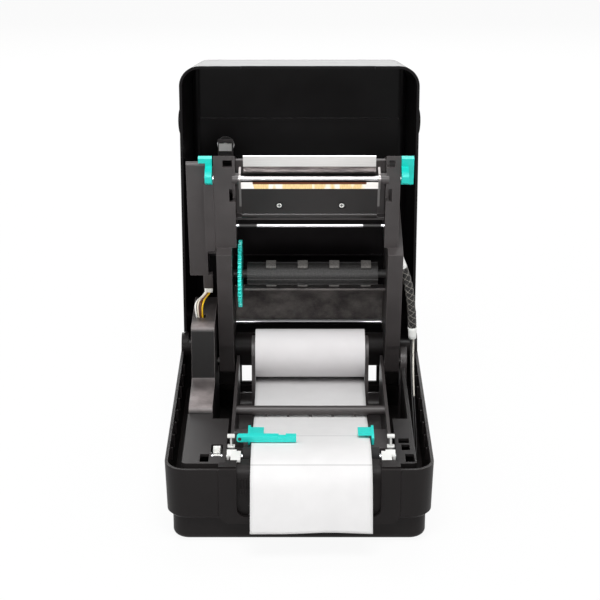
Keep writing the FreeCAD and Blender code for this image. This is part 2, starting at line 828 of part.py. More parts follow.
def media_bay():
    """The trough under the roll, its ramp up to the label table and the two side walls."""
    wall = d.bay_wall
    floor_top = d.bay_floor + wall
    back = d.bay_back
    table = plate(
        "x",
        [(back, d.bay_floor), (back, d.bay_back_height), (back - wall, d.bay_back_height),
         (back - wall, floor_top), (d.ramp_foot, floor_top), (d.table_back, table_height(d.table_back)),
         (d.table_front, table_height(d.table_front)), (d.table_front, table_height(d.table_front) - wall),
         (d.table_back + 1, table_height(d.table_back) - wall), (d.ramp_foot + 1, d.bay_floor)],
        BAY_X, {3: size(6.0), 4: size(12.0)},
    )
    walls = []
    for x in ((BAY_X[0] - wall, BAY_X[0]), (BAY_X[1], BAY_X[1] + wall)):
        walls.append(plate(
            "x",
            [(back, FLOOR), (back, d.bay_wall_top), (BAY_FRONT, d.bay_wall_top), (BAY_FRONT, size(44.0)),
             (size(-60.0), FLOOR)],
            x, {1: size(8.0)},
        ))
    across = grown(BAY_X, wall + 1)
    bores = [
        rod("x", d.bushing_radius, across, PLATEN),
        block(across, spread(d.platen_y, 2 * d.bushing_radius), (d.platen_z, d.bay_wall_top + 1)),
        rod("x", d.guide_bar_radius, across, (d.guide_bar_y, d.guide_bar_z)),
    ]
    stud = rod("x", d.stud_radius, (d.gear_x - 1, BAY_X[0] - wall / 2), IDLER)
    node("media_bay", fuse(cut(fuse(table, *walls), *bores), stud, sensor_bracket()))


BAY_FRONT = d.platen_y - 11.5


def guide_bar():
    """The label's guide bar, with short prongs over the label, held by the bay's two walls."""
    at = (d.guide_bar_y, d.guide_bar_z)
    bar = rod("x", d.guide_bar_radius, grown(BAY_X, d.bay_wall), at)
    prongs = []
    for step in range(-2, 3):
        middle = d.media_x + step * d.prong_pitch
        x = spread(middle, d.prong_thick)
        prongs.append(block(x, spread(at[0], d.guide_bar_radius), (at[1] - d.prong_reach, at[1])))
    node("guide_bar", fuse(bar, *prongs))


def decks():
    """The two deck hoods beside the label table, with the latch and gear openings."""
    wall = d.cover_wall
    top = d.rim_height
    inner_left = BAY_X[0] - d.deck_inner_gap
    arm_left = ARM_X[0] - d.arm_thick - 1.5
    outer = -d.deck_outer
    plan = [
        (outer, d.deck_front), (inner_left, d.deck_front), (inner_left, d.deck_notch_y),
        (arm_left, d.deck_notch_y), (arm_left, d.deck_back), (outer, d.deck_back),
    ]
    rounds = {0: size(4.0)}
    shell = plate("z", plan, (FLOOR, top), rounds)
    room_plan = [
        (outer + wall, d.deck_front + wall), (inner_left + 1, d.deck_front + wall),
        (inner_left + 1, d.deck_notch_y + 1), (arm_left + 1, d.deck_notch_y + 1),
        (arm_left + 1, d.deck_back - wall), (outer + wall, d.deck_back - wall),
    ]
    room = plate("z", room_plan, (FLOOR - 1, top - d.deck_thick))
    latch_hole = block(LATCH_HOLE_LEFT, LATCH_HOLE_Y, (top - 5, top + 1))
    gear_hole = block(
        (d.gear_x - 2.2, d.gear_x + d.gear_width + 2), spread(d.platen_y, 23.0), (top - 5, top + 1))
    node("left_deck", cut(shell, room, latch_hole, gear_hole))

    inner_right = BAY_X[1] + d.deck_inner_gap
    arm_right = ARM_X[1] + d.arm_thick + 1.2
    outer = d.deck_outer
    plan = [
        (inner_right, d.deck_front), (outer, d.deck_front), (outer, d.arm_hinge_y - 18),
        (arm_right, d.arm_hinge_y - 18), (arm_right, d.deck_notch_y), (inner_right, d.deck_notch_y),
    ]
    shell = plate("z", plan, (FLOOR, top), {1: size(4.0)})
    room_plan = [
        (inner_right - 1, d.deck_front + wall), (outer - wall, d.deck_front + wall),
        (outer - wall, d.deck_notch_y - wall), (inner_right - 1, d.deck_notch_y - wall),
    ]
    room = plate("z", room_plan, (FLOOR - 1, top - d.deck_thick))
    latch_hole = block(LATCH_HOLE_RIGHT, LATCH_HOLE_Y, (top - 5, top + 1))
    vents = [
        block((inner_right + 3, inner_right + 12), (size(-90.0), size(-81.0)), (top - 5, top + 1)),
        block((inner_right + 5, inner_right + 12), (size(-104.0), size(-93.0)), (top - 5, top + 1)),
    ]
    lead_hole = block((outer - 4, outer + 1), (size(-57.0), size(-46.0)), (size(19.0), size(32.0)))
    node("right_deck", cut(shell, room, latch_hole, lead_hole, *vents))


LATCH_LEFT_X = (ARM_X[0] - d.arm_thick - 2.0 - d.latch_arm_thick, ARM_X[0] - d.arm_thick - 2.0)
RIGHT_LEVER = BAY_X[1] + d.frame_thick_right + 0.5
LATCH_RIGHT_X = (RIGHT_LEVER, RIGHT_LEVER + d.latch_arm_thick)
LATCH_HOLE_LEFT = grown(LATCH_LEFT_X, 0.8)
LATCH_HOLE_RIGHT = grown(LATCH_RIGHT_X, 0.8)
HOOK_OUT = d.frame_length - 16
LATCH_HOLE_Y = (d.arm_hinge_y - HOOK_OUT - 9.5, d.arm_hinge_y - HOOK_OUT + 5.5)


def pillars():
    """The tall cover beside the roll on the left and the carriage's bearing post on the right."""
    right = ARM_X[0] - d.arm_thick - 2
    x = (right - d.pillar_width, right)
    front = d.deck_back + d.fit_gap
    face = d.pillar_face
    outline = [
        (front, FLOOR), (front, d.pillar_ledge - 1.5), (face - 4, d.pillar_ledge), (face, d.pillar_ledge + 3),
        (face + d.pillar_lean, d.pillar_top), (d.pillar_back, d.pillar_top), (d.pillar_back, FLOOR),
    ]
    shell = plate("x", outline, x, {1: size(7.0), 4: d.pillar_round, 5: d.pillar_round})
    wall = d.cover_wall
    room = plate(
        "x",
        [(front + wall, FLOOR - 1), (front + wall, d.pillar_ledge - 4), (face + wall, d.pillar_ledge - 4),
         (face + wall + d.pillar_lean, d.pillar_top - wall), (d.pillar_back - wall, d.pillar_top - wall),
         (d.pillar_back - wall, FLOOR - 1)],
        grown(x, -wall),
    )
    boss = rod("x", d.arm_pin_radius + 3, (right - 9, right), ARM_HINGE)
    pin_hole = rod("x", d.arm_pin_radius, (right - 8, right + 1), ARM_HINGE)
    mouth_z = (d.pillar_top - 6, d.pillar_top + 1)
    wire_mouth = block(spread(x[0] + 7.4, 10.0), spread(WIRE_FOOT_Y, 9.0), mouth_z)
    node("left_pillar", cut(fuse(cut(shell, room), boss), pin_hole, wire_mouth))

    left = ARM_X[1] + d.arm_thick + 1.0
    y = d.arm_hinge_y
    bracket = plate(
        "x",
        [(y - 13, FLOOR), (y + 13, FLOOR), (y + 13, d.rim_height), (y + 13, d.rim_height + 13),
         (y - 13, d.rim_height + 13), (y - 13, d.rim_height)],
        (left, left + 6), {3: size(12.0), 4: size(12.0)},
    )
    hole = rod("x", d.arm_pin_radius, (left - 1, left + 7), ARM_HINGE)
    node("right_hinge_post", cut(bracket, hole))


WIRE_FOOT_Y = size(59.5)


def hinge_pins():
    """The stub pins that the carriage's arms turn on and those of the lid's lugs."""
    left_end = ARM_X[0] - d.arm_thick - 2
    right_end = ARM_X[1] + d.arm_thick + 1.0
    pins = [
        rod("x", d.arm_pin_radius, (left_end - 8, ARM_X[0] - 1), ARM_HINGE),
        rod("x", d.arm_pin_radius, (ARM_X[1] + 1, right_end + 6), ARM_HINGE),
    ]
    pins += [rod("x", d.lid_pin_radius, (x[0] - 5, x[1] + 4), LID_HINGE) for x in LUGS_X]
    node("hinge_pins", group(*pins))


# Platen drive

def polar(centre, distance, degrees):
    """A place at a distance and an angle in the Y-Z plane, bound to the sheet."""
    y = Size(f"({distance.text} * cos({degrees.text} * 1deg))", 0.0)
    z = Size(f"({distance.text} * sin({degrees.text} * 1deg))", 0.0)
    y.value = distance.value * math.cos(math.radians(degrees.value))
    z.value = distance.value * math.sin(math.radians(degrees.value))
    return centre[0] + y, centre[1] + z


IDLER = polar(PLATEN, (d.platen_teeth + d.idler_teeth) * d.gear_module / 2, d.idler_angle)
PINION = polar(IDLER, (d.idler_teeth + d.pinion_teeth) * d.gear_module / 2, d.pinion_angle)
GEAR_X = (d.gear_x, d.gear_x + d.gear_width)


def mesh_turn(teeth, driver_teeth, driver_turn, degrees):
    """The first tooth's angle that puts a gap opposite the driver's tooth."""
    line = math.radians(float(degrees))
    n = int(float(teeth))
    other = int(float(driver_teeth))
    phase = (line - driver_turn) * other / (2 * math.pi)
    return line + math.pi + (phase + 0.5) * 2 * math.pi / n


def platen_drive():
    """The platen roller with its bushings, and the gears and motor that turn it."""
    rubber_x = spread(d.media_x, d.platen_length)
    shaft = rod("x", d.shaft_radius, (d.gear_x - 1.5, BAY_X[1] + d.bay_wall + 4), PLATEN)
    node("platen_shaft", shaft)
    node("platen_rubber", tube("x", d.platen_radius, d.shaft_radius, rubber_x, PLATEN))
    node("platen_gear", gear(d.platen_teeth, GEAR_X, PLATEN, d.shaft_radius, 0.0))
    idler_turn = mesh_turn(d.idler_teeth, d.platen_teeth, 0.0, d.idler_angle)
    node("idler_gear", gear(d.idler_teeth, GEAR_X, IDLER, d.stud_radius + d.running_gap, idler_turn))
    pinion_turn = mesh_turn(d.pinion_teeth, d.idler_teeth, idler_turn, d.pinion_angle)
    pinion = gear(d.pinion_teeth, GEAR_X, PINION, d.motor_shaft_radius - 0.5, pinion_turn)
    motor_front = d.gear_x - 4.0
    node("motor_pinion", fuse(
        pinion, rod("x", d.motor_shaft_radius, (motor_front + 0.4, GEAR_X[1] + 1), PINION)))
    bushings = []
    for wall, rubber_end, end in ((BAY_X[0], rubber_x[0], -1), (BAY_X[1], rubber_x[1], 1)):
        outer = wall + end * (d.bay_wall + 2)
        tab_end = rubber_end + end * 1.5
        inner = (wall + tab_end) / 2
        span = (outer, inner) if end < 0 else (inner, outer)
        ring = tube("x", d.bushing_radius, d.shaft_radius + d.running_gap, span, PLATEN)
        tab_x = (wall - 0.9, tab_end) if end < 0 else (tab_end, wall + 0.9)
        tab = plate(
            "x",
            [(d.platen_y - 2, d.platen_z + 4.6), (d.platen_y - 21, d.platen_z + 5.2),
             (d.platen_y - 21, d.platen_z + 7.2), (d.platen_y - 1, d.platen_z + 6.3)],
            tab_x,
        )
        bushings.append(fuse(ring, tab))
    node("platen_bushings", group(*bushings))
    y = spread(PINION[0], d.motor_side)
    z = spread(PINION[1], d.motor_side)
    corner = size(3.0)
    body = plate(
        "x", [(y[0], z[0]), (y[1], z[0]), (y[1], z[1]), (y[0], z[1])],
        (motor_front - d.motor_length, motor_front), {n: corner for n in range(4)},
    )
    node("feed_motor", body)
    bracket = plate(
        "x", [(y[0] - 4, FLOOR), (y[1] + 4, FLOOR), (y[1] + 4, z[1] - 1), (y[0] - 4, z[1] - 1)],
        (motor_front, motor_front + 1.5), {2: size(4.0), 3: size(4.0)},
    )
    clear = rod("x", size(8.0), (motor_front - 1, motor_front + 2.5), PINION)
    node("motor_bracket", cut(bracket, clear))


def head_posts():
    """The white I-shaped posts on the bay walls that line up the closed carriage."""
    posts = []
    y = spread(d.platen_y + 12.5, 5.5)
    low = d.bay_wall_top
    for middle in (BAY_X[0] - d.bay_wall / 2, BAY_X[1] + d.bay_wall / 2):
        foot = block(spread(middle, 6.4), y, (low, low + 1.6))
        web = block(spread(middle, 1.7), grown(y, -0.8), (low + 1.4, low + 9.8))
        cap = block(spread(middle, 6.4), y, (low + 9.6, low + 11.2))
        posts.append(fuse(foot, web, cap))
    node("head_posts", group(*posts))


# Label stock

def label_stock():
    """The roll on its core and the web that runs under the bar and over the platen."""
    node("label_roll", tube("x", d.roll_radius, d.core_radius, MEDIA_X, ROLL))
    node("roll_core", tube("x", d.core_radius, d.core_radius - d.core_wall, MEDIA_X, ROLL))
    t = d.paper_thick
    lift = size(0.25)
    roll_low = d.roll_z - d.roll_radius - lift
    bar_low = d.guide_bar_z - d.prong_reach - lift
    top = PAPER_TOP + lift
    front = CHUTE_Y
    lower = [
        (d.roll_y + 2, roll_low), (d.guide_bar_y + 3, bar_low), (d.guide_bar_y - 5, bar_low),
        (d.platen_y + 6, top), (front + 10, top), (front - 3, top - 3.2),
        (front - 12, top - 10.5), (front - 19.5, top - 24), (front - 26, top - 36), (front - 31.5, top - 48),
    ]
    lower_side = [(y, z - t) for y, z in lower[:3]] + [(y, z) for y, z in lower[3:]]
    upper_side = [(y, z) for y, z in lower[:3]] + [(y, z + t) for y, z in lower[3:]]
    outline = lower_side + upper_side[::-1]
    node("label_web", plate("x", outline, MEDIA_X))


def roll_holders():
    """Two arms whose hubs hold the roll's core; they slide apart on the bay floor."""
    low = d.bay_floor + d.bay_wall + d.fit_gap
    hub_radius = d.core_radius - d.core_wall - 0.5
    for name, edge, out in (("left_roll_holder", MEDIA_X[0], -1), ("right_roll_holder", MEDIA_X[1], 1)):
        near = edge + out * 0.5
        far = near + out * d.holder_thick
        span = (far, near) if out < 0 else (near, far)
        arm = plate(
            "x",
            [(d.roll_y - 20, low), (d.roll_y + 20, low), (d.roll_y + 16, d.roll_z),
             (d.roll_y + 16, d.roll_z + 16), (d.roll_y - 16, d.roll_z + 16), (d.roll_y - 16, d.roll_z)],
            span, {3: size(15.0), 4: size(15.0)},
        )
        tip = near - out * 9
        hub_span = (near, tip) if out < 0 else (tip, near)
        node(name, fuse(arm, rod("x", hub_radius, hub_span, ROLL)))


def media_guides():
    """The two turquoise edge guides, a fin and a flap each, on the label table."""
    back = size(-60.0)
    front = size(-82.5)
    for name, edge, out in (("left_media_guide", MEDIA_X[0], -1), ("right_media_guide", MEDIA_X[1], 1)):
        near = edge + out * 1.4
        far = near + out * 2.2
        span = (far, near) if out < 0 else (near, far)
        lift = d.fit_gap
        fin = plate(
            "x",
            [(front, table_height(front) + lift), (back, table_height(back) + lift), (back, size(73.0)),
             (front + 3, size(73.0)), (front, size(71.0))],
            span,
        )
        tip = near - out * 11.5
        flap_x = (far, tip) if out < 0 else (tip, far)
        flap = plate(
            "x",
            [(front + 5, size(70.9)), (back, size(69.6)), (back, size(71.2)), (front + 5, size(72.5))],
            flap_x,
        )
        node(name, fuse(fin, flap))


SENSOR_Y = (d.platen_y + 10, d.platen_y + 16.4)
SENSOR_Z = (PAPER_TOP + 0.7, PAPER_TOP + 6.0)
SENSOR_LEFT = BAY_X[0] + 3.4
SENSOR_PIVOT = (SENSOR_LEFT + 2.7, SENSOR_Z[0] + 2.7)


def sensor_arm():
    """The turquoise arm of the upper label sensor, hinged on a pin beside the label."""
    left = SENSOR_LEFT
    low, top = SENSOR_Z
    beam = plate(
        "y",
        [(left, low), (left + 51, low), (left + 51, top), (left + 42, top), (left + 42, top - 1.2),
         (left + 36, top - 1.2), (left + 36, top), (left, top)],
        SENSOR_Y, {0: size(2.4), 7: size(2.4)},
    )
    bore = rod("y", d.sensor_pin_radius + d.running_gap, grown(SENSOR_Y, 1.0), SENSOR_PIVOT)
    node("sensor_arm", cut(beam, bore))


def sensor_bracket():
    """The lug on the bay's wall with the sensor arm's pin."""
    y = (SENSOR_Y[1] + 0.4, SENSOR_Y[1] + 4.0)
    right = SENSOR_PIVOT[0] + 3
    top = SENSOR_PIVOT[1] + 3
    foot = size(56.0)
    lug = plate(
        "y",
        [(BAY_X[0] - 0.5, foot), (right, foot), (right, top), (BAY_X[0] + 0.6, top),
         (BAY_X[0] + 0.6, d.bay_wall_top - 1), (BAY_X[0] - 0.5, d.bay_wall_top - 1)],
        y, {2: size(2.5), 3: size(2.0)},
    )
    return fuse(lug, rod("y", d.sensor_pin_radius, (SENSOR_Y[0], y[1]), SENSOR_PIVOT))


# Lid, made closed about its hinge

LID_FRONT = -(d.lid_hinge_y + HALF_DEPTH)
LID_X = grown(CASE_X, -d.lid_inset)


def lid_block(inset, low):
    """The drafted form of the lid, drawn in by an inset on every side, from a low plane up."""
    top = d.lid_height - inset
    corner = d.rim_corner - inset
    bottom_x = grown(LID_X, -inset)
    bottom_y = (LID_FRONT + inset, BARREL - inset)
    top_x = grown(bottom_x, -d.lid_side_draft)
    top_y = (bottom_y[0] + d.lid_front_draft, bottom_y[1] - d.lid_side_draft)
    loft = tapered_block([(bottom_x, bottom_y, low, corner), (top_x, top_y, top, corner)])
    radius = d.lid_top_round - inset / 2
    wide_x = grown(bottom_x, d.edge_break)
    wide_y = grown(bottom_y, d.edge_break)
    under = low - 1
    side = plate(
        "x", [(wide_y[0], under), (wide_y[1], under), (top_y[1], top), (top_y[0], top)],
        wide_x, {2: radius, 3: radius},
    )
    front = plate(
        "y", [(wide_x[0], under), (wide_x[1], under), (top_x[1], top), (top_x[0], top)],
        wide_y, {2: radius, 3: radius},
    )
    return common(common(loft, side), front)


def lid_shell():
    """The lid: a drafted shell with hinge lugs, side grips and the label's exit notch."""
    outer = lid_block(size(0), d.fit_gap)
    room = lid_block(d.case_wall, d.fit_gap - 0.02)
    grips = []
    for side in (-1, 1):
        grip = doc.addObject("Part::Ellipsoid", "Grip")
        bind(grip, "Radius1", d.grip_height)
        bind(grip, "Radius2", d.grip_proud + d.grip_sunk)
        bind(grip, "Radius3", d.grip_length / 2)
        place(grip, side * (LID_X[1] - d.grip_sunk), LID_FRONT + d.grip_from_front, 0)
        above = block(grown(CASE_X, 2 * d.grip_proud), (LID_FRONT, size(0)), (d.fit_gap, 2 * d.grip_height))
        grips.append(common(grip, above))
    barrel_room = rod("x", BARREL + d.lid_swing_gap, grown(CASE_X, 1.0), (size(0), size(0)))
    rear_notch = block(
        grown(CASE_X, 1.0), (size(-1.2), BARREL + 1), (size(-1.0), BARREL + d.lid_swing_gap))
    exit_x = spread(d.media_x - 2, d.exit_notch_width)
    exit_notch = block(exit_x, (LID_FRONT - 1, LID_FRONT + 14), (size(-1.0), d.exit_notch_depth))
    lugs = []
    for x in LUGS_X:
        reach = size(36.0)
        lug = plate(
            "x",
            [(-d.lid_lug_radius, size(0)), (size(7.0), size(0)), (BARREL - d.case_wall - 1.0, reach),
             (-d.lid_lug_radius, reach)],
            x,
        )
        lugs.append(fuse(lug, rod("x", d.lid_lug_radius, x, (size(0), size(0)))))
    bores = [
        rod("x", d.lid_pin_radius + d.running_gap, grown(x, 1.0), (size(0), size(0))) for x in LUGS_X
    ]
    ribs = []
    roof = d.lid_height - d.case_wall
    for y in (-60.0, -130.0, -200.0):
        ribs.append(block(
            grown(CASE_X, -16.0), spread(size(y), 1.6), (roof - 2.5, roof + 0.5)))
    key_bore = rod("z", d.key_radius + 0.3, (roof - 5, d.lid_height + 1), (d.key_x, -d.key_from_hinge))
    shell = fuse(cut(fuse(outer, *grips), room, barrel_room, rear_notch, exit_notch), *lugs, *ribs)
    lid_node("lid_shell", cut(shell, key_bore, *bores))


def feed_key():
    """The feed key in the lid's roof, its light guide inside and the bracket that holds it."""
    roof = d.lid_height - d.case_wall
    at = (d.key_x, -d.key_from_hinge)
    cap = rod("z", d.key_radius, (roof - 0.4, d.lid_height + 1.6), at)
    stem = rod("z", 4.0, (roof - 9, roof), at)
    foot = block(spread(at[0], 12.4), spread(at[1], 7.0), (roof - 12, roof - 8.9))
    lid_node("feed_key", fuse(cap, stem, foot))
    y = (at[1] - 7, at[1] + 16)
    plate_z = (roof - 7, roof - 5.2)
    base = block(spread(at[0], 15.0), y, plate_z)
    legs = [
        block(spread(at[0] + side * 6.6, 1.8), (at[1] + 6, at[1] + 16), (roof - 7, roof)) for side in (-1, 1)
    ]
    opening = rod("z", 4.3, grown(plate_z, 1.0), at)
    screw_hole = rod("z", 1.5, (roof - 8, roof), (at[0], at[1] + 11))
    lid_node("key_bracket", cut(fuse(base, *legs), opening, screw_hole))


# Carriage, made closed about its hinge: forward is -Y

def ahead(value):
    return -size(value)


def frame_outline(inset, back, front, low):
    """The side outline of a frame from back to its leaning nose, drawn in by an inset."""
    top = d.frame_top - inset
    return [
        (ahead(back) - inset, low + inset), (ahead(front) + 1.9 * inset, low + inset),
        (ahead(front - d.nose_lean) + 0.6 * inset, top), (ahead(back) - inset, top),
    ]


def side_frame(name, arm_x, frame_x, outward):
    """One side of the carriage: a hollow arm from the hinge and the frame around the head."""
    wall = d.frame_wall
    arm = plate(
        "x",
        [(ahead(-d.arm_heel), ARM_HEEL_LOW), (ahead(ARM_STEP), ARM_HEEL_LOW),
         (ahead(ARM_STEP + 1.5), -d.arm_drop), (ahead(d.arm_length), -d.arm_drop),
         (ahead(d.arm_length), d.frame_top),
         (ahead(d.cross_rod_back - 6), d.frame_top), (ahead(d.cross_rod_back - 6), d.cross_rod_up - 9),
         (ahead(d.arm_waist), d.cross_rod_up - 15), (ahead(d.arm_waist), 22), (ahead(-d.arm_heel), 12)],
        arm_x, {0: size(6.0), 5: size(5.0), 9: size(5.0)},
    )
    around = frame_outline(size(0), d.arm_length, d.frame_length, d.frame_low)
    head = plate("x", around, frame_x, {2: size(5.0)})
    pocket_arm_x, pocket_head_x = [
        (x[0] - 1, x[1] - wall) if outward < 0 else (x[0] + wall, x[1] + 1) for x in (arm_x, frame_x)
    ]
    pocket_arm = plate(
        "x",
        [(ahead(ARM_STEP + 4), -d.arm_drop + wall), (ahead(d.arm_length - wall), -d.arm_drop + wall),
         (ahead(d.arm_length - wall), d.frame_top - wall), (ahead(ARM_STEP + 4), d.frame_top - wall)],
        pocket_arm_x,
    )
    pocket_head = plate("x", frame_outline(wall, d.arm_length, d.frame_length, d.frame_low), pocket_head_x)
    inner = frame_x[1] if outward < 0 else frame_x[0]
    post_x = (inner - 5.5, inner + 1) if outward < 0 else (inner - 1, inner + 5.5)
    post_y = spread(d.platen_y + 12.5 - d.arm_hinge_y, 14.0)
    post_room = block(post_x, post_y, (d.frame_low - 1, size(10.5)))
    window_x = spread((frame_x[0] + frame_x[1]) / 2 - outward * 3.0, 8.5)
    window_y = (ahead(d.frame_length - 4.5), ahead(d.frame_length - 12))
    window = block(window_x, window_y, (d.frame_low - 1, d.frame_low + 3.5))
    across = (arm_x[0] - 30, arm_x[1] + 30)
    pivot = rod("x", d.arm_pin_radius + d.running_gap, across, (size(0), size(0)))
    spindle_bores = [
        rod("x", d.axle_radius + d.running_gap, across, SUPPLY),
        rod("x", d.axle_radius + d.running_gap, across, TAKE_UP),
        rod("x", d.latch_rod_radius + d.running_gap, across, LATCH),
        rod("x", d.cross_rod_radius, across, (ahead(d.cross_rod_back), d.cross_rod_up)),
        rod("x", d.ribbon_rod_radius, across, RIBBON_ROD),
    ]
    hollow = cut(fuse(arm, head), pocket_arm, pocket_head)
    beside_plate = d.end_plate + 0.4
    if outward < 0:
        boss_x = (inner - wall, HEAD_X[0] - beside_plate)
        motor_x = (frame_x[0] - 1, frame_x[1] - wall)
        hollow = cut(hollow, rod("x", d.ribbon_motor_radius + d.fit_gap, motor_x, RIBBON_MOTOR))
    else:
        boss_x = (HEAD_X[1] + beside_plate, inner + wall)
    boss = rod("x", d.latch_boss_radius, boss_x, LATCH)
    arm_node(name, cut(fuse(hollow, boss), post_room, window, pivot, *spindle_bores))


ARM_STEP = size(22.0)
ARM_HEEL_LOW = -d.arm_drop + 2.2
RIBBON_ROD = (ahead(d.ribbon_rod_out), d.ribbon_rod_up)
LATCH = (ahead(d.latch_out), d.latch_up)
LEFT_ARM_X = (ARM_X[0] - d.arm_thick, ARM_X[0])
LEFT_FRAME_X = (BAY_X[0] - d.frame_thick_left, BAY_X[0])
RIGHT_ARM_X = (ARM_X[1], ARM_X[1] + d.arm_thick)
RIGHT_FRAME_X = (BAY_X[1], BAY_X[1] + d.frame_thick_right)


def side_frames():
    side_frame("left_frame", LEFT_ARM_X, LEFT_FRAME_X, -1)
    side_frame("right_frame", RIGHT_ARM_X, RIGHT_FRAME_X, 1)


def gearbox_cover():
    """The ribbon drive's cover on the left frame: deep outboard, shallow over the release lever."""
    wall = d.cover_wall
    low = d.gearbox_low
    top = d.gearbox_top
    back = ahead(d.gearbox_back)
    front = ahead(d.gearbox_front)
    outer = -d.gearbox_outer
    gap_left = LATCH_LEFT_X[0] - 0.8
    gap_right = LEFT_FRAME_X[0] - 0.3
    over_lever = low + d.latch_boss_radius + 1.5
    step = front + d.gearbox_step
    brow = front + d.gearbox_lean
    around = [(front, low), (back, low), (back, top), (brow, top)]
    deep = plate("x", around, (outer, gap_left), {0: size(3.0), 3: size(4.0)})
    room = plate(
        "x",
        [(front + 1.9 * wall, low + wall), (back - wall, low + wall), (back - wall, top - wall),
         (brow + 0.6 * wall, top - wall)],
        (outer + wall, gap_left + 1),
    )
    neck = back - d.gearbox_neck
    bridge_x = (gap_left - 1, gap_right)
    roof = block(bridge_x, (brow + 2, neck), (top - wall, top))
    lip = block(bridge_x, (neck - wall, neck), (over_lever, top))
    leaning = [(step, over_lever), (step + wall, over_lever), (brow + 2 + wall, top), (brow + 2, top)]
    shelf = plate("x", leaning, bridge_x)
    strip_y = (ahead(d.latch_out - 6), d.deck_back - 1.0 - d.arm_hinge_y)
    strip = block(bridge_x, strip_y, (d.frame_low + 0.5, low + wall))
    wire_mouth = block((gap_left - 10, gap_left - 0.5), (back - 2 * wall, back + 1), (low + wall, low + 10))
    arm_node("gearbox_cover", fuse(cut(deep, room, wire_mouth), roof, lip, shelf, strip))


def head_unit():
    """The print head: heat sink, ceramic strip, end plates, screws and the bridge above."""
    tip = ahead(d.head_line + 1.5)
    step = tip + d.ceramic_length
    back = ahead(d.heat_sink_back)
    sink_low = d.head_low + d.ceramic_thick
    outline = [
        (back, d.head_clear + 6), (back - 6, d.head_clear), (step + 0.6, d.head_clear), (step, sink_low),
        (tip, sink_low), (tip, d.head_clear + 2), (step, d.heat_sink_top), (back, d.heat_sink_top),
    ]
    screw_y = ahead(d.heat_sink_back + 16.9)
    spots = [(d.media_x + offset, screw_y) for offset in (-28.0, 28.0)]
    holes = [rod("z", 1.6, (d.head_clear - 1, d.head_clear + 8), spot) for spot in spots]
    sinks = [rod("z", 3.6, (d.head_clear - 1, d.head_clear + 1.8), spot) for spot in spots]
    roll_edge = rod("x", 4.0, HEAD_X, (back - 6, d.head_clear + 3.2))
    arm_node("heat_sink", cut(fuse(plate("x", outline, HEAD_X), roll_edge), *holes, *sinks))
    strip = block(HEAD_X, (tip, step), (d.head_low, sink_low))
    arm_node("head_ceramic", strip)
    plates = []
    ear = d.end_plate_ear
    for x in ((HEAD_X[0] - d.end_plate, HEAD_X[0]), (HEAD_X[1], HEAD_X[1] + d.end_plate)):
        side = plate(
            "x", [(ahead(d.end_plate_back), d.bridge_low), (ahead(d.end_plate_back), d.head_clear),
                  (step + 2, d.head_clear), (step, d.latch_up - ear + 0.6), (LATCH[0], d.latch_up - ear),
                  (LATCH[0] - ear, d.latch_up), (LATCH[0] - ear, d.bridge_low - 6), (LATCH[0], d.bridge_low)],
            x, {6: size(3.0)},
        )
        bore = rod("x", d.latch_rod_radius + d.running_gap, grown(x, 1.0), LATCH)
        plates.append(cut(fuse(side, rod("x", ear, x, LATCH)), bore))
    arm_node("head_end_plates", group(*plates))
    screws = []
    for spot in spots:
        head = rod("z", 2.9, (d.head_clear + 0.2, d.head_clear + 1.8), spot)
        screws.append(fuse(head, rod("z", 1.55, (d.head_clear + 1.8, d.head_clear + 7.5), spot)))
    arm_node("head_screws", group(*screws))
    bridge = block(BAY_X, (ahead(d.bridge_front), back + 4), (d.bridge_low, d.bridge_low + 3))
    rib = block(BAY_X, (back + 1, back + 4), (d.bridge_low - 6, d.bridge_low + 3))
    arm_node("head_bridge", fuse(bridge, rib))
    springs = [
        tube("z", size(3.2), size(2.4), (d.heat_sink_top, d.bridge_low), (x, (step + back) / 2))
        for x in (HEAD_X[0] + 24, HEAD_X[1] - 24)
    ]
    arm_node("head_springs", group(*springs))


def ribbon_path():
    """The bright guide rod, the bent guide plate in front of the head and the cross rod."""
    arm_node("ribbon_guide_rod", rod("x", d.ribbon_rod_radius, grown(BAY_X, d.frame_wall), RIBBON_ROD))
    t = size(1.2)
    low = d.frame_low
    front = ahead(d.frame_length - 0.3)
    bend = front + 10.7
    rear = bend + 9.7
    outline = [
        (front, low), (bend, low), (rear, low + 4.6), (rear, d.bridge_low), (rear - t, d.bridge_low),
        (rear - t, low + 5.4), (bend - 0.3, low + t), (front, low + t),
    ]
    arm_node("ribbon_guide_plate", plate("x", outline, spread(d.media_x - 1, 117.0)))
    cross = rod(
        "x", d.cross_rod_radius, (ARM_X[0] - d.frame_wall, ARM_X[1] + d.frame_wall),
        (ahead(d.cross_rod_back), d.cross_rod_up))
    arm_node("cross_rod", cross)


def partition():
    """The curved wall between the ribbon and the label roll, cut away round the supply wheel."""
    at = (d.roll_y - d.arm_hinge_y, d.roll_z - d.rim_height)
    ring = tube("x", d.partition_radius + d.partition_thick, d.partition_radius, ARM_X, at)
    reach = 2 * d.partition_radius
    sector = plate(
        "x",
        [at, (at[0] - reach, at[1] + reach / 4), (at[0] - reach, at[1] + reach),
         (at[0] + reach / 4, at[1] + reach)],
        grown(ARM_X, 1.0),
    )
    wheel_room = rod(
        "x", d.supply_wheel_radius + 1.5, (ARM_X[0] - 1, SUPPLY_WHEEL_X[1] + 1.5), SUPPLY)
    arm_node("ribbon_partition", cut(common(ring, sector), wheel_room))


SUPPLY = (ahead(d.supply_out), d.supply_up)
TAKE_UP = (ahead(d.take_up_out), d.take_up_up)
RIBBON_MOTOR = polar(
    TAKE_UP, (d.take_up_gear_teeth + d.ribbon_pinion_teeth) * d.gear_module / 2, d.ribbon_motor_angle)
SUPPLY_WHEEL_X = (BAY_X[0] + 0.4, BAY_X[0] + 3.9)
TAKE_UP_GEAR_X = (size(-92.5), size(-86.5))


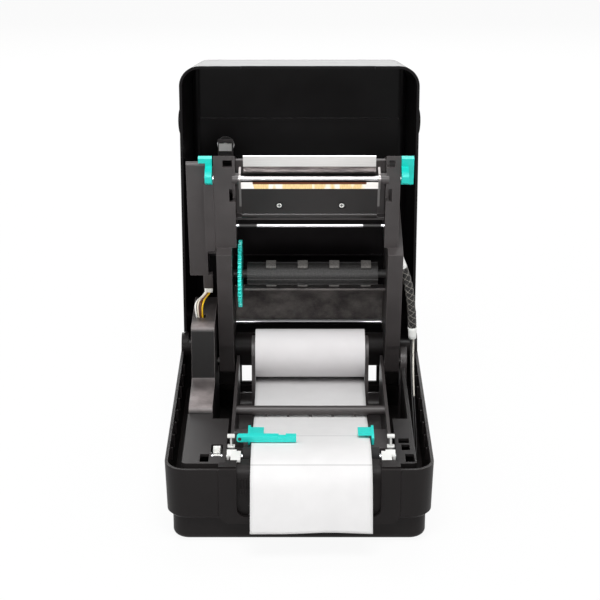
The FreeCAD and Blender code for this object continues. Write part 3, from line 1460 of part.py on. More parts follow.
def spindle(name, at, radius, axle_x):
    """A ribbon spindle: a ridged core with four pairs of gripping lugs on an axle."""
    span = (BAY_X[0] + 8.6, BAY_X[1] - 4)
    fins = []
    for n in range(4):
        left = span[0] + 17.5 + n * d.fin_pitch
        x = (left, left + d.fin_length)
        fins.append(block(x, (at[0] - d.supply_fin_radius, at[0]), (at[1] - d.fin_drop, at[1] + d.fin_rise)))
        fins.append(block(x, (at[0], at[0] + d.supply_fin_radius), (at[1] - d.fin_rise, at[1] + d.fin_drop)))
    ridges = []
    for turn in (0.0, 45.0, 180.0, 225.0):
        y = math.sin(math.radians(turn)) * radius
        z = -math.cos(math.radians(turn)) * radius
        ridges.append(rod("x", d.ridge_radius, span, (at[0] + y, at[1] + z)))
    core = rod("x", radius, span, at)
    arm_node(name, fuse(core, rod("x", d.axle_radius, axle_x, at), *fins, *ridges))


def ribbon_drive():
    """The supply spindle with its wheel, and the take-up spindle with its gear and motor."""
    spindle("supply_spindle", SUPPLY, d.supply_radius, grown(ARM_X, d.frame_wall + 0.5))
    teeth = d.supply_wheel_teeth
    module = 2 * d.supply_wheel_radius / (teeth + 2)
    arm_node("supply_wheel", gear(teeth, SUPPLY_WHEEL_X, SUPPLY, d.axle_radius, 0.0, module))
    spindle(
        "take_up_spindle", TAKE_UP, d.take_up_radius,
        (TAKE_UP_GEAR_X[0] - 1, BAY_X[1] + d.frame_wall + 0.5))
    arm_node("take_up_gear", gear(d.take_up_gear_teeth, TAKE_UP_GEAR_X, TAKE_UP, d.axle_radius, 0.0))
    motor = RIBBON_MOTOR
    inside = LEFT_FRAME_X[1] - d.frame_wall
    arm_node("ribbon_motor", rod("x", d.ribbon_motor_radius, (LEFT_FRAME_X[0] + 0.5, inside), motor))
    turn = mesh_turn(d.ribbon_pinion_teeth, d.take_up_gear_teeth, 0.0, d.ribbon_motor_angle)
    pinion = gear(d.ribbon_pinion_teeth, TAKE_UP_GEAR_X, motor, d.ribbon_shaft_radius - 0.4, turn)
    shaft = rod("x", d.ribbon_shaft_radius, (TAKE_UP_GEAR_X[0], LEFT_FRAME_X[0] + 0.2), motor)
    arm_node("ribbon_pinion", fuse(pinion, shaft))


def release_latch():
    """The carriage's release: a cross rod with a turquoise hook lever at each end."""
    at = LATCH
    arm_node("latch_rod", rod("x", d.latch_rod_radius, (LATCH_LEFT_X[0], LATCH_RIGHT_X[1]), at))
    stem = at[0] + d.latch_stem_length
    low = d.frame_low
    hook = ahead(HOOK_OUT)
    front = ahead(d.frame_length - 3)
    top = low + d.latch_arm_height
    tip = low - d.latch_hook_drop
    left_tab = (LATCH_LEFT_X[0] - 6, LATCH_LEFT_X[1])
    right_tab = (LATCH_RIGHT_X[0], LATCH_RIGHT_X[1] + 5)
    for name, x, tab_x, tab_back in (
        ("left_latch_lever", LATCH_LEFT_X, left_tab, front + d.latch_tab_length),
        ("right_latch_lever", LATCH_RIGHT_X, right_tab, stem),
    ):
        arm = plate(
            "x",
            [(stem, low), (hook + 4, low), (hook + 4, tip + 7), (hook + 7, tip + 4.5), (hook + 3, tip),
             (hook - 4, tip), (hook - 5, low), (front, low), (front, top), (stem, top)],
            x, {5: size(2.0)},
        )
        boss = rod("x", d.latch_boss_radius, x, at)
        tab = block(tab_x, (front, tab_back), (low, top))
        bore = rod("x", d.latch_rod_radius, grown(x, 1.0), at)
        arm_node(name, cut(fuse(arm, boss, tab), bore))


def on_carriage(out, up):
    """The depth and height at rest of a carriage place, as plain numbers."""
    turn = math.radians(d.carriage_open.value)
    y = d.arm_hinge_y.value - out.value * math.cos(turn) + up.value * math.sin(turn)
    z = d.rim_height.value + out.value * math.sin(turn) + up.value * math.cos(turn)
    return y, z


def cables():
    """The ribbon motor's wires from the left pillar, and the head's sleeved cable on the right."""
    wires = []
    for n in range(4):
        x = -93.0 + 1.5 * n
        plug = on_carriage(d.gearbox_back - 11.5, d.gearbox_low + 2.2 + 0.9 * n)
        before = on_carriage(d.gearbox_back - 18, d.gearbox_low - 1.5 + 0.9 * n)
        route = [
            (x, 58.6 + 0.7 * n, 121.0), (x - 2.4 + 0.4 * n, 58.0 + 0.8 * n, 133.0),
            (x - 2.2 + 0.9 * n, 59.5 + 0.8 * n, 142.0), (-90.0 + 1.75 * n, *before),
            (-87.0 + 1.75 * n, *plug),
        ]
        wires.append(pipe(route, d.wire_radius))
    node("motor_wires", group(*wires))
    collar = on_carriage(d.arm_length - 7.0, size(9.5))
    sleeve = [
        (88.5, *collar), (93.0, collar[0] - 3, collar[1] - 11), (98.5, 67.5, 163.0), (101.5, 70.5, 148.0),
        (103.5, 75.0, 131.0), (105.0, 78.5, 115.0), (105.3, 79.5, 100.0),
    ]
    leads = []
    for n in range(2):
        shift = 2.2 * n
        leads.append(pipe([
            (104.2 + shift, 79.5, 100.2), (104.2 + shift, 78.5, 90.0), (104.0 + shift, 71.0, 80.0 - 2 * n),
            (103.6 + shift, 55.0, 71.0 - 4 * n), (103.2 + shift, 34.0, 65.0 - 5 * n),
            (102.8 + shift, 10.0, 60.0 - 6 * n), (102.6 + shift, -14.0, 53.0 - 6 * n),
            (102.4 + shift, -34.0, 42.0 - 5 * n), (100.5 + shift / 2, -47.0, 30.0 - 2 * n),
            (91.0, -52.0, 25.0 - 2.4 * n),
        ], d.wire_radius))
    node("head_cable", fuse(pipe(sleeve, d.sleeve_radius), *leads))


def build():
    lower_case()
    middle_case()
    front_panel()
    feet()
    case_screws()
    power_rocker()
    main_board()
    media_bay()
    guide_bar()
    decks()
    pillars()
    hinge_pins()
    platen_drive()
    head_posts()
    label_stock()
    roll_holders()
    media_guides()
    sensor_arm()
    lid_shell()
    feed_key()
    side_frames()
    gearbox_cover()
    head_unit()
    ribbon_path()
    partition()
    ribbon_drive()
    release_latch()
    cables()


build()
doc.recompute()

faults = [obj.Name for obj in doc.Objects if "Invalid" in obj.State or "Error" in obj.State]
for name, obj in nodes.items():
    if obj.Shape.isNull() or not obj.Shape.isValid() or not obj.Shape.Solids:
        faults.append(name)
if faults:
    raise RuntimeError(f"not built: {faults}")

os.makedirs("parts", exist_ok=True)
for name, obj in nodes.items():
    obj.Shape.exportStep(f"parts/{name}.step")
print(len(nodes), "nodes,", sum(len(obj.Shape.Solids) for obj in nodes.values()), "solids")
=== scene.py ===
"""Looks of the open label printer: finishes, wires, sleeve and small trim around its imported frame."""
import json
import math

import bmesh
import bpy
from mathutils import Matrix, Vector


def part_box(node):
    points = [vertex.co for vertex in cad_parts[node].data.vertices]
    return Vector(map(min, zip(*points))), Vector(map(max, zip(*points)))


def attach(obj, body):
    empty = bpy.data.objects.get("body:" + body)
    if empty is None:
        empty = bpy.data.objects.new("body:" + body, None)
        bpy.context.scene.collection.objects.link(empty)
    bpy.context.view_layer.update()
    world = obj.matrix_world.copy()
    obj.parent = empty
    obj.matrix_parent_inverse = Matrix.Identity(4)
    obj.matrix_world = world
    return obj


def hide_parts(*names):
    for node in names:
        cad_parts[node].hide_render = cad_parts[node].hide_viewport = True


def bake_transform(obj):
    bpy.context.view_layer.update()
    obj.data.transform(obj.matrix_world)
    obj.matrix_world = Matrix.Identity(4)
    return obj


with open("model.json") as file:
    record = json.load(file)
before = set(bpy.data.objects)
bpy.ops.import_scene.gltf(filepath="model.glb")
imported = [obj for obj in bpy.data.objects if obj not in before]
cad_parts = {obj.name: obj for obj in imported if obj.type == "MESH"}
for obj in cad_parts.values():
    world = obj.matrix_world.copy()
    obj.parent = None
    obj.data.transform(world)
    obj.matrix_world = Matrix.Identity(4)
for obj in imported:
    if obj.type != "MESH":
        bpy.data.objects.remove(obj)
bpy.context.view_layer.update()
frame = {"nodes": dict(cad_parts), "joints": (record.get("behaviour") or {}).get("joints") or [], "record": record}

MM = 0.001
NODES = frame["nodes"]
RECORD = frame["record"]
JOINTS = {joint["name"]: joint for joint in frame["joints"]}

# Camera, fitted to the photograph's edges: millimetres, degrees and pixels
CAMERA_AT = (0.6, -1557.3, 764.3)
CAMERA_PITCH = 21.0
FOCAL_PIXELS = 1891.0
FRAME_PIXELS = 600.0
SENSOR_WIDTH = 36.0

# How far the camera sees, in metres
CAMERA_REACH = 50.0


def joint_at(name):
    """A joint's place in the row frame, in millimetres."""
    return Vector(JOINTS[name]["pos_m"]) / MM


def box_of(node):
    """A node's low and high corners, in millimetres."""
    low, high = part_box(node)
    return Vector(low) / MM, Vector(high) / MM


def middle_of(node):
    """The middle of a node across the width, in millimetres."""
    low, high = box_of(node)
    return (low.x + high.x) / 2


# Directions in the row frame
ACROSS = Vector((1.0, 0.0, 0.0))
BACK = Vector((0.0, 1.0, 0.0))
UP = Vector((0.0, 0.0, 1.0))

# The carriage's hinge, how far it stands open at rest, and its own directions
CARRIAGE_HINGE = joint_at("carriage_hinge")
CARRIAGE_OPEN = math.radians(-JOINTS["carriage_hinge"]["range_deg"][0])
FORWARD = Vector((0.0, -math.cos(CARRIAGE_OPEN), math.sin(CARRIAGE_OPEN)))
UPWARD = Vector((0.0, math.sin(CARRIAGE_OPEN), math.cos(CARRIAGE_OPEN)))


def on_carriage(x, out, up):
    """A place given forward of and above the carriage's hinge, in the row frame, in millimetres."""
    return CARRIAGE_HINGE + ACROSS * x + FORWARD * out + UPWARD * up


def camera():
    data = bpy.data.cameras.new("camera")
    data.sensor_width = SENSOR_WIDTH
    data.lens = FOCAL_PIXELS * SENSOR_WIDTH / FRAME_PIXELS
    data.clip_end = CAMERA_REACH
    obj = bpy.data.objects.new("camera", data)
    obj.location = Vector(CAMERA_AT) * MM
    obj.rotation_euler = (math.radians(90.0 - CAMERA_PITCH), 0.0, 0.0)
    bpy.context.scene.collection.objects.link(obj)
    bpy.context.scene.camera = obj


# Worn edges: their reach in millimetres, and how alike the two normals are at full wear and at none
WORN_REACH = 0.7
WORN_SAMPLES = 4
WORN_FULL = 0.82
WORN_NONE = 0.97

# The values between which a noise mostly lies
NOISE_LOW = 0.3
NOISE_HIGH = 0.7


# Node graphs
class Graph:
    """A node tree, with short calls for the nodes used here."""

    def __init__(self, tree):
        self.tree = tree
        self.coords = None

    def add(self, kind, **values):
        node = self.tree.nodes.new(kind)
        for key, value in values.items():
            setattr(node, key, value)
        return node

    def link(self, source, target):
        self.tree.links.new(source, target)

    def where(self):
        """Object coordinates, in metres, the same as the row frame at rest."""
        if self.coords is None:
            self.coords = self.add("ShaderNodeTexCoord").outputs["Object"]
        return self.coords

    def along(self, direction, origin=(0.0, 0.0, 0.0)):
        """How far a point lies along a direction from an origin in millimetres, in millimetres."""
        offset = self.add("ShaderNodeVectorMath", operation="SUBTRACT")
        self.link(self.where(), offset.inputs[0])
        offset.inputs[1].default_value = Vector(origin) * MM
        dot = self.add("ShaderNodeVectorMath", operation="DOT_PRODUCT")
        self.link(offset.outputs["Vector"], dot.inputs[0])
        dot.inputs[1].default_value = Vector(direction) / MM
        return dot.outputs["Value"]

    def out_on_carriage(self):
        """How far a point of the carriage lies forward of its hinge, in millimetres."""
        return self.along(FORWARD, CARRIAGE_HINGE)

    def stretched(self, scale):
        mapping = self.add("ShaderNodeMapping")
        mapping.inputs["Scale"].default_value = scale
        self.link(self.where(), mapping.inputs["Vector"])
        return mapping.outputs["Vector"]

    def noise(self, scale, detail=2.0, roughness=0.5, vector=None):
        node = self.add("ShaderNodeTexNoise")
        node.inputs["Scale"].default_value = scale
        node.inputs["Detail"].default_value = detail
        node.inputs["Roughness"].default_value = roughness
        self.link(vector or self.where(), node.inputs["Vector"])
        return node.outputs["Fac"]

    def tones(self, value, dark, light, low=NOISE_LOW, high=NOISE_HIGH):
        """A colour that goes from dark to light as a value goes from low to high."""
        node = self.add("ShaderNodeValToRGB")
        for element, place, colour in zip(node.color_ramp.elements, (low, high), (dark, light)):
            element.position = place
            element.color = tuple(colour) + (1.0,)
        self.link(value, node.inputs["Fac"])
        return node.outputs["Color"]

    def spread(self, value, low, high, start=0.0, end=1.0):
        """Maps start to end onto low to high, and holds it beyond them."""
        node = self.add("ShaderNodeMapRange")
        node.inputs["From Min"].default_value = start
        node.inputs["From Max"].default_value = end
        node.inputs["To Min"].default_value = low
        node.inputs["To Max"].default_value = high
        self.link(value, node.inputs["Value"])
        return node.outputs["Result"]

    def math(self, operation, first, second=None):
        node = self.add("ShaderNodeMath", operation=operation)
        for slot, value in enumerate((first, second)):
            if value is None:
                continue
            if isinstance(value, (int, float)):
                node.inputs[slot].default_value = value
            else:
                self.link(value, node.inputs[slot])
        return node.outputs["Value"]

    def beyond(self, value, place, soft):
        """Nothing below a place and one above it, with a soft step."""
        return self.spread(value, 0.0, 1.0, place - soft, place + soft)

    def below(self, value, place, soft):
        """One below a place and nothing above it, with a soft step."""
        return self.spread(value, 1.0, 0.0, place - soft, place + soft)

    def between(self, value, low, high, soft):
        """One between two values and nothing outside them, with soft edges."""
        return self.math("MULTIPLY", self.beyond(value, low, soft), self.below(value, high, soft))

    def distance(self, first, second):
        """The length of a flat vector from its two parts."""
        squares = [self.math("POWER", value, 2.0) for value in (first, second)]
        return self.math("SQRT", self.math("ADD", *squares))

    def mix(self, factor, first, second):
        """One colour or colour output over another."""
        node = self.add("ShaderNodeMix", data_type="RGBA")
        self.link(factor, node.inputs["Factor"])
        for socket, value in ((node.inputs[6], first), (node.inputs[7], second)):
            if isinstance(value, tuple):
                socket.default_value = value + (1.0,)
            else:
                self.link(value, socket)
        return node.outputs[2]

    def normal(self):
        return self.add("ShaderNodeNewGeometry").outputs["Normal"]

    def worn_edges(self, colour, worn):
        """Lightens the edges, where handling polishes them: there a rounded normal leaves the face's own."""
        rounded = self.add("ShaderNodeBevel", samples=WORN_SAMPLES)
        rounded.inputs["Radius"].default_value = WORN_REACH * MM
        alike = self.add("ShaderNodeVectorMath", operation="DOT_PRODUCT")
        self.link(rounded.outputs["Normal"], alike.inputs[0])
        self.link(self.normal(), alike.inputs[1])
        wear = self.spread(alike.outputs["Value"], 1.0, 0.0, WORN_FULL, WORN_NONE)
        return self.mix(wear, colour, worn)

    def upward(self, low, high):
        """Nothing on walls and one on faces that look up, between two heights of the normal."""
        parts = self.add("ShaderNodeSeparateXYZ")
        self.link(self.normal(), parts.inputs["Vector"])
        return self.spread(parts.outputs["Z"], 0.0, 1.0, low, high)

    def bump(self, height, strength, distance):
        node = self.add("ShaderNodeBump")
        node.inputs["Strength"].default_value = strength
        node.inputs["Distance"].default_value = distance
        self.link(height, node.inputs["Height"])
        return node.outputs["Normal"]

    def seen_rays(self):
        """One for rays from the camera, mirrors and glass, and nothing for the light that surfaces get."""
        path = self.add("ShaderNodeLightPath")
        seen = self.math("MAXIMUM", path.outputs["Is Camera Ray"], path.outputs["Is Glossy Ray"])
        return self.math("MAXIMUM", seen, path.outputs["Is Transmission Ray"])


class Finish(Graph):
    """A material's node tree around its Principled shader."""

    def __init__(self, name):
        self.material = bpy.data.materials.new(name)
        self.material.use_nodes = True
        super().__init__(self.material.node_tree)
        self.shader = self.tree.nodes["Principled BSDF"]
        self.output = self.tree.nodes["Material Output"]

    def set(self, **sockets):
        """Links or sets the shader's sockets, named with underscores for spaces."""
        for key, value in sockets.items():
            socket = self.shader.inputs[key.replace("_", " ")]
            if isinstance(value, (int, float)):
                socket.default_value = value
            elif isinstance(value, tuple):
                socket.default_value = value + (1.0,)
            else:
                self.link(value, socket)


def srgb(*display):
    """A colour written as 0-255 display values, as linear light."""
    shares = [value / 255 for value in display]
    return tuple(((c + 0.055) / 1.055) ** 2.4 if c > 0.04 else c / 12.92 for c in shares)


def tint(colour, factor):
    return tuple(min(1.0, c * factor) for c in colour)


# Colours of the main materials
# The lid's black is the case's plastic drawn darker: painted shade inside the lid
LID_BLACK_PAINTED_SHADE = srgb(9, 7, 8)
CASE_BLACK = srgb(30, 27, 27)
DECK_BLACK = srgb(42, 39, 39)
# The frames' black is drawn lighter than the case's: painted light on the carriage's front-facing pieces
FRAME_BLACK_PAINTED_LIGHT = srgb(64, 60, 60)
WHITE = srgb(244, 244, 241)
STEEL = srgb(205, 205, 207)
ALUMINIUM = srgb(246, 243, 241)
# One turquoise plastic in lit and shaded copies: painted light on the guides and wheel, painted shade on the
# levers
GUIDE_TURQUOISE_PAINTED_LIGHT = srgb(44, 226, 215)
LEVER_TURQUOISE_PAINTED_SHADE = srgb(18, 198, 186)
WHEEL_TURQUOISE_PAINTED_LIGHT = srgb(58, 236, 224)

# Heights of bump, in metres
GRAIN_HEIGHT = 0.0002
FINE_HEIGHT = 0.0001

# Moulded plastic: the size of its mottling and how far its roughness drifts
MOTTLING_SCALE = 38.0
ROUGHNESS_DRIFT = 0.06


# Finishes
def moulded(name, colour, roughness, grain, depth, specular=0.3, mottling=0.12, worn=2.2):
    """Moulded plastic: a fine spark-eroded grain, faint mottling, rubbed edges and a drifting roughness."""
    g = Finish(name)
    drift = g.noise(MOTTLING_SCALE, detail=4.0)
    fine = g.noise(grain, roughness=0.6)
    base = g.tones(drift, tint(colour, 1 - mottling), tint(colour, 1 + mottling))
    g.set(
        Base_Color=g.worn_edges(base, tint(colour, worn)),
        Roughness=g.spread(drift, roughness - ROUGHNESS_DRIFT, roughness + ROUGHNESS_DRIFT),
        Specular_IOR_Level=specular,
        Normal=g.bump(fine, depth, GRAIN_HEIGHT),
    )
    return g.material


def turquoise(name, colour, worn):
    """The glossy turquoise plastic of the pieces that a user handles."""
    return moulded(
        name, colour, roughness=0.36, grain=3600.0, depth=0.06, specular=0.45, mottling=0.04, worn=worn
    )


# Drawn metal: how its lines are drawn out along the width, their depth and their darker tone
DRAWN_SCALE = 60.0
DRAWN_STRETCH = (1.0, 60.0, 60.0)
DRAWN_DEPTH = 0.015
DRAWN_DARK = 0.86


def drawn_lines(g):
    """The fine lines of drawn or rolled metal, along the width."""
    return g.noise(DRAWN_SCALE, detail=3.0, roughness=0.6, vector=g.stretched(DRAWN_STRETCH))


def drawn_colour(g, lines, colour):
    return g.tones(lines, tint(colour, DRAWN_DARK), colour)


def drawn_metal(name, colour, roughness):
    g = Finish(name)
    lines = drawn_lines(g)
    g.set(
        Base_Color=drawn_colour(g, lines, colour),
        Metallic=1.0,
        Roughness=g.spread(lines, roughness - 0.05, roughness + 0.08),
        Normal=g.bump(lines, DRAWN_DEPTH, FINE_HEIGHT),
    )
    return g.material


# Cuts between labels: place along the depth and width, in millimetres, with their soft edge and tone
LABEL_CUTS = ((-69.0, 0.9), (-134.6, 0.8), (-2.5, 0.9))
CUT_SOFT = 0.15
CUT_TONE = 0.55


def paper(name, colour, cuts=()):
    """Coated label stock, with the die-cut lines between labels at places along the depth."""
    g = Finish(name)
    fibre = g.noise(900.0, detail=4.0, roughness=0.6)
    cloud = g.noise(60.0, detail=3.0)
    base = g.tones(cloud, tint(colour, 0.965), colour)
    depth = g.along(BACK)
    for place, width in cuts:
        line = g.between(depth, place - width / 2, place + width / 2, CUT_SOFT)
        base = g.mix(line, base, tint(colour, CUT_TONE))
    g.set(
        Base_Color=base,
        Roughness=g.spread(fibre, 0.5, 0.66),
        Specular_IOR_Level=0.25,
        Normal=g.bump(fibre, 0.08, FINE_HEIGHT),
    )
    return g.material


# The head's strip, in millimetres: its tip out on the carriage, its tracks' reach each way and their slant
CERAMIC_TIP = 197.5
TRACK_REACH = 50.5
TRACK_SLANT = 0.25
TRACK_SOFT = 0.3
GLAZE_FROM = 1.3
GLAZE_SOFT = 0.2
GOLD = srgb(240, 206, 148)


def ceramic():
    """The head's fired strip: gold tracks with pale pads, a brown glaze line and bare white ends."""
    g = Finish("ceramic")
    out = g.out_on_carriage()
    pads = g.noise(95.0, detail=1.0, roughness=0.4, vector=g.stretched((1.0, 0.25, 0.25)))
    fine = g.noise(1400.0, vector=g.stretched((1.0, 0.1, 0.1)))
    tracks = g.tones(fine, tint(GOLD, 0.86), tint(GOLD, 1.12), low=0.35, high=0.65)
    tracks = g.mix(g.spread(pads, 0.0, 1.0, start=0.52, end=0.58), tracks, srgb(248, 240, 228))
    tracks = g.mix(g.beyond(out, CERAMIC_TIP - GLAZE_FROM, GLAZE_SOFT), tracks, srgb(92, 48, 26))
    reach = g.math("ABSOLUTE", g.math("SUBTRACT", g.along(ACROSS), middle_of("head_ceramic")))
    slant = g.math("MULTIPLY", g.math("SUBTRACT", out, CERAMIC_TIP), TRACK_SLANT)
    ends = g.beyond(g.math("SUBTRACT", reach, slant), TRACK_REACH, TRACK_SOFT)
    g.set(
        Base_Color=g.mix(ends, tracks, srgb(240, 236, 232)),
        Roughness=g.spread(fine, 0.18, 0.3),
        Specular_IOR_Level=0.5,
        Normal=g.bump(fine, 0.05, FINE_HEIGHT),
    )
    return g.material


# The ribbon guide rod's middle and the reach of its sleeves from there, in millimetres
ROD_MIDDLE = 9.6
ROD_SLEEVE = (47.8, 63.9)
ROD_SOFT = 0.2


def sleeved_rod():
    """Drawn steel rod with a black sleeve near each end."""
    g = Finish("sleeved_rod")
    lines = drawn_lines(g)
    reach = g.math("ABSOLUTE", g.math("SUBTRACT", g.along(ACROSS), ROD_MIDDLE))
    sleeve = g.between(reach, *ROD_SLEEVE, ROD_SOFT)
    duller = g.math("MULTIPLY", sleeve, 0.3)
    g.set(
        Base_Color=g.mix(sleeve, drawn_colour(g, lines, STEEL), srgb(24, 23, 23)),
        Metallic=g.math("SUBTRACT", 1.0, sleeve),
        Roughness=g.math("ADD", g.spread(lines, 0.26, 0.32), duller),
        Normal=g.bump(lines, DRAWN_DEPTH, FINE_HEIGHT),
    )
    return g.material


# The radius at which the supply spindle's lugs begin, in millimetres
LUG_RADIUS = 11.4
LUG_SOFT = 0.3


def spindle():
    """The ribbon spindle's black plastic, with its gripping lugs rubbed lighter."""
    g = Finish("supply_spindle")
    axis = joint_at("supply_spin")
    radius = g.distance(g.along(BACK, axis), g.along(UP, axis))
    specks = g.noise(700.0, detail=3.0, roughness=0.7)
    body = g.tones(specks, srgb(30, 29, 29), srgb(58, 56, 55), low=0.4, high=0.75)
    lugs = g.tones(specks, srgb(84, 82, 80), srgb(128, 125, 122))
    g.set(
        Base_Color=g.mix(g.beyond(radius, LUG_RADIUS, LUG_SOFT), body, lugs),
        Roughness=g.spread(specks, 0.4, 0.6),
        Specular_IOR_Level=0.35,
        Normal=g.bump(specks, 0.2, GRAIN_HEIGHT),
    )
    return g.material


# The depth of the feed key's white foot, in millimetres
KEY_FOOT = 3.7
KEY_SOFT = 0.2


def feed_key_finish():
    """The feed key: a white foot inside the lid and a grey cap outside it."""
    g = Finish("feed_key")
    front = box_of("feed_key")[0].y
    drift = g.noise(60.0, detail=3.0)
    foot = g.below(g.along(BACK), front + KEY_FOOT, KEY_SOFT)
    white = g.tones(drift, tint(WHITE, 0.96), WHITE)
    g.set(
        Base_Color=g.mix(foot, srgb(40, 39, 39), white),
        Roughness=g.spread(drift, 0.36, 0.48),
        Specular_IOR_Level=0.35,
    )
    return g.material


# The painted sheen on the left pillar's top and ledge: heights and depths in millimetres, and shares left behind
LEDGE_TO_TOP = (95.0, 100.0)
TOP_SHEEN = (38.0, 48.0)
TOP_LEFT = 0.15
LEDGE_SHEEN = (-2.0, 14.0)
LEDGE_LEFT = 0.35


def painted_sheen_tops(name, colour, light):
    """Black plastic whose upward faces carry a painted sheen, paler in uneven patches, most in front."""
    g = Finish(name)
    patches = g.noise(70.0, detail=4.0, roughness=0.6)
    fine = g.noise(2400.0, roughness=0.6)
    wall = g.tones(patches, tint(colour, 0.85), tint(colour, 1.15))
    sheen = g.tones(patches, tint(light, 0.6), light, low=0.35, high=0.65)
    depth = g.along(BACK)
    on_top = g.spread(g.along(UP), 0.0, 1.0, *LEDGE_TO_TOP)
    on_ledge = g.math("SUBTRACT", 1.0, on_top)
    top = g.math("MULTIPLY", on_top, g.spread(depth, 1.0, TOP_LEFT, *TOP_SHEEN))
    ledge = g.math("MULTIPLY", on_ledge, g.spread(depth, 1.0, LEDGE_LEFT, *LEDGE_SHEEN))
    # Painted highlight: upward faces drawn paler, most near their front edges, for light glancing off them
    rubbed = g.math("MULTIPLY", g.upward(0.25, 0.9), g.math("ADD", top, ledge))
    g.set(
        Base_Color=g.worn_edges(g.mix(rubbed, wall, sheen), tint(light, 0.9)),
        Roughness=g.spread(patches, 0.34, 0.46),
        Specular_IOR_Level=0.35,
        Normal=g.bump(fine, 0.15, GRAIN_HEIGHT),
    )
    return g.material


# Where the ribbon guide plate turns in, out on the carriage, in millimetres
PLATE_BEND = 214.0
PLATE_SOFT = 0.4


def bent_plate():
    """The ribbon guide plate: bright along its tip, with its turned-in part streaked and drawn darker as a painted
    dark reflection.
    """
    g = Finish("bent_plate")
    lines = drawn_lines(g)
    streaks = g.noise(30.0, detail=4.0, roughness=0.7, vector=g.stretched((1.0, 6.0, 6.0)))
    painted_dark_reflection = g.tones(streaks, srgb(86, 80, 79), srgb(158, 150, 148), low=0.35, high=0.65)
    # The turned-in part's darker streaks are a painted dark reflection
    inner = g.below(g.out_on_carriage(), PLATE_BEND, PLATE_SOFT)
    g.set(
        Base_Color=g.mix(inner, drawn_colour(g, lines, ALUMINIUM), painted_dark_reflection),
        Metallic=1.0,
        Roughness=g.spread(lines, 0.25, 0.38),
        Normal=g.bump(lines, DRAWN_DEPTH, FINE_HEIGHT),
    )
    return g.material


# The head's two screws, in millimetres: their places, the radius inside the rim, and the cross recess
SCREWS_APART = 28.0
SCREWS_OUT = 168.9
SCREW_FACE = 2.3
RIM_SOFT = 0.15
SLOT_HALF = 0.32
SLOT_SOFT = 0.08
SLOT_REACH = 1.5
SLOT_END_SOFT = 0.1


def screw_heads():
    """The head's two bright screws, with painted shade on the rim and in the cross recess."""
    g = Finish("screw_heads")
    reach = g.math("ABSOLUTE", g.math("SUBTRACT", g.along(ACROSS), middle_of("head_screws")))
    across = g.math("SUBTRACT", reach, SCREWS_APART)
    out = g.math("SUBTRACT", g.out_on_carriage(), SCREWS_OUT)
    radius = g.distance(across, out)
    rim = g.beyond(radius, SCREW_FACE, RIM_SOFT)
    arms = [g.between(value, -SLOT_HALF, SLOT_HALF, SLOT_SOFT) for value in (across, out)]
    inside = g.below(radius, SLOT_REACH, SLOT_END_SOFT)
    cross = g.math("MULTIPLY", g.math("MAXIMUM", *arms), inside)
    lines = g.noise(900.0)
    bright = g.tones(lines, tint(STEEL, 0.9), srgb(250, 248, 240))
    # Painted shade: the rim and the cross recess drawn near black
    g.set(
        Base_Color=g.mix(g.math("MAXIMUM", rim, cross), bright, srgb(16, 15, 15)),
        Metallic=0.6,
        Roughness=g.spread(lines, 0.25, 0.4),
    )
    return g.material


def painted_reflections(name, colour, light):
    """Black plastic with painted reflections: paler in cloudy patches and specks, as behind the ribbon."""
    g = Finish(name)
    cloud = g.noise(45.0, detail=6.0, roughness=0.65)
    specks = g.noise(900.0, roughness=0.7)
    base = g.tones(cloud, colour, light, low=0.35, high=0.75)
    base = g.mix(g.spread(specks, 0.0, 0.5, start=0.62, end=0.75), base, tint(light, 1.6))
    g.set(
        Base_Color=g.worn_edges(base, tint(light, 2.0)),
        Roughness=g.spread(cloud, 0.34, 0.6),
        Specular_IOR_Level=0.45,
        Normal=g.bump(specks, 0.15, GRAIN_HEIGHT),
    )
    return g.material


def wire_finish(name, colour):
    return moulded(
        name, colour, roughness=0.38, grain=1200.0, depth=0.05, specular=0.45, mottling=0.04, worn=1.05
    )


# The finishes of the record's slots
FINISHES = {
    "black_case": moulded(
        "black_case", CASE_BLACK, roughness=0.48, grain=2600.0, depth=0.25, specular=0.16
    ),
    "black_lid": moulded(
        "black_lid", LID_BLACK_PAINTED_SHADE, roughness=0.3, grain=2200.0, depth=0.04, specular=0.14, mottling=0.1,
        worn=1.0
    ),
    "black_frame": moulded(
        "black_frame", FRAME_BLACK_PAINTED_LIGHT, roughness=0.42, grain=3200.0, depth=0.15, specular=0.45
    ),
    "white_plastic": moulded(
        "white_plastic", WHITE, roughness=0.4, grain=3000.0, depth=0.05, specular=0.4, mottling=0.02,
        worn=1.05
    ),
    "core_board": moulded(
        "core_board", srgb(188, 160, 122), roughness=0.8, grain=900.0, depth=0.3, specular=0.15, worn=1.1
    ),
    "steel": drawn_metal("steel", STEEL, roughness=0.28),
    "motor_steel": moulded("motor_steel", srgb(60, 60, 62), roughness=0.4, grain=1800.0, depth=0.1),
    "head_black": moulded(
        "head_black", srgb(30, 26, 26), roughness=0.32, grain=2400.0, depth=0.12, specular=0.45
    ),
    "ceramic": ceramic(),
    "rubber": moulded("rubber", srgb(30, 30, 31), roughness=0.75, grain=1600.0, depth=0.2),
    "board": moulded("board", srgb(24, 96, 56), roughness=0.35, grain=900.0, depth=0.1, specular=0.5),
    "sleeve": moulded("sleeve", srgb(30, 29, 29), roughness=0.6, grain=900.0, depth=0.3),
    "wire": moulded(
        "wire", srgb(222, 216, 200), roughness=0.4, grain=1200.0, depth=0.05, specular=0.4, mottling=0.04,
        worn=1.05
    ),
}

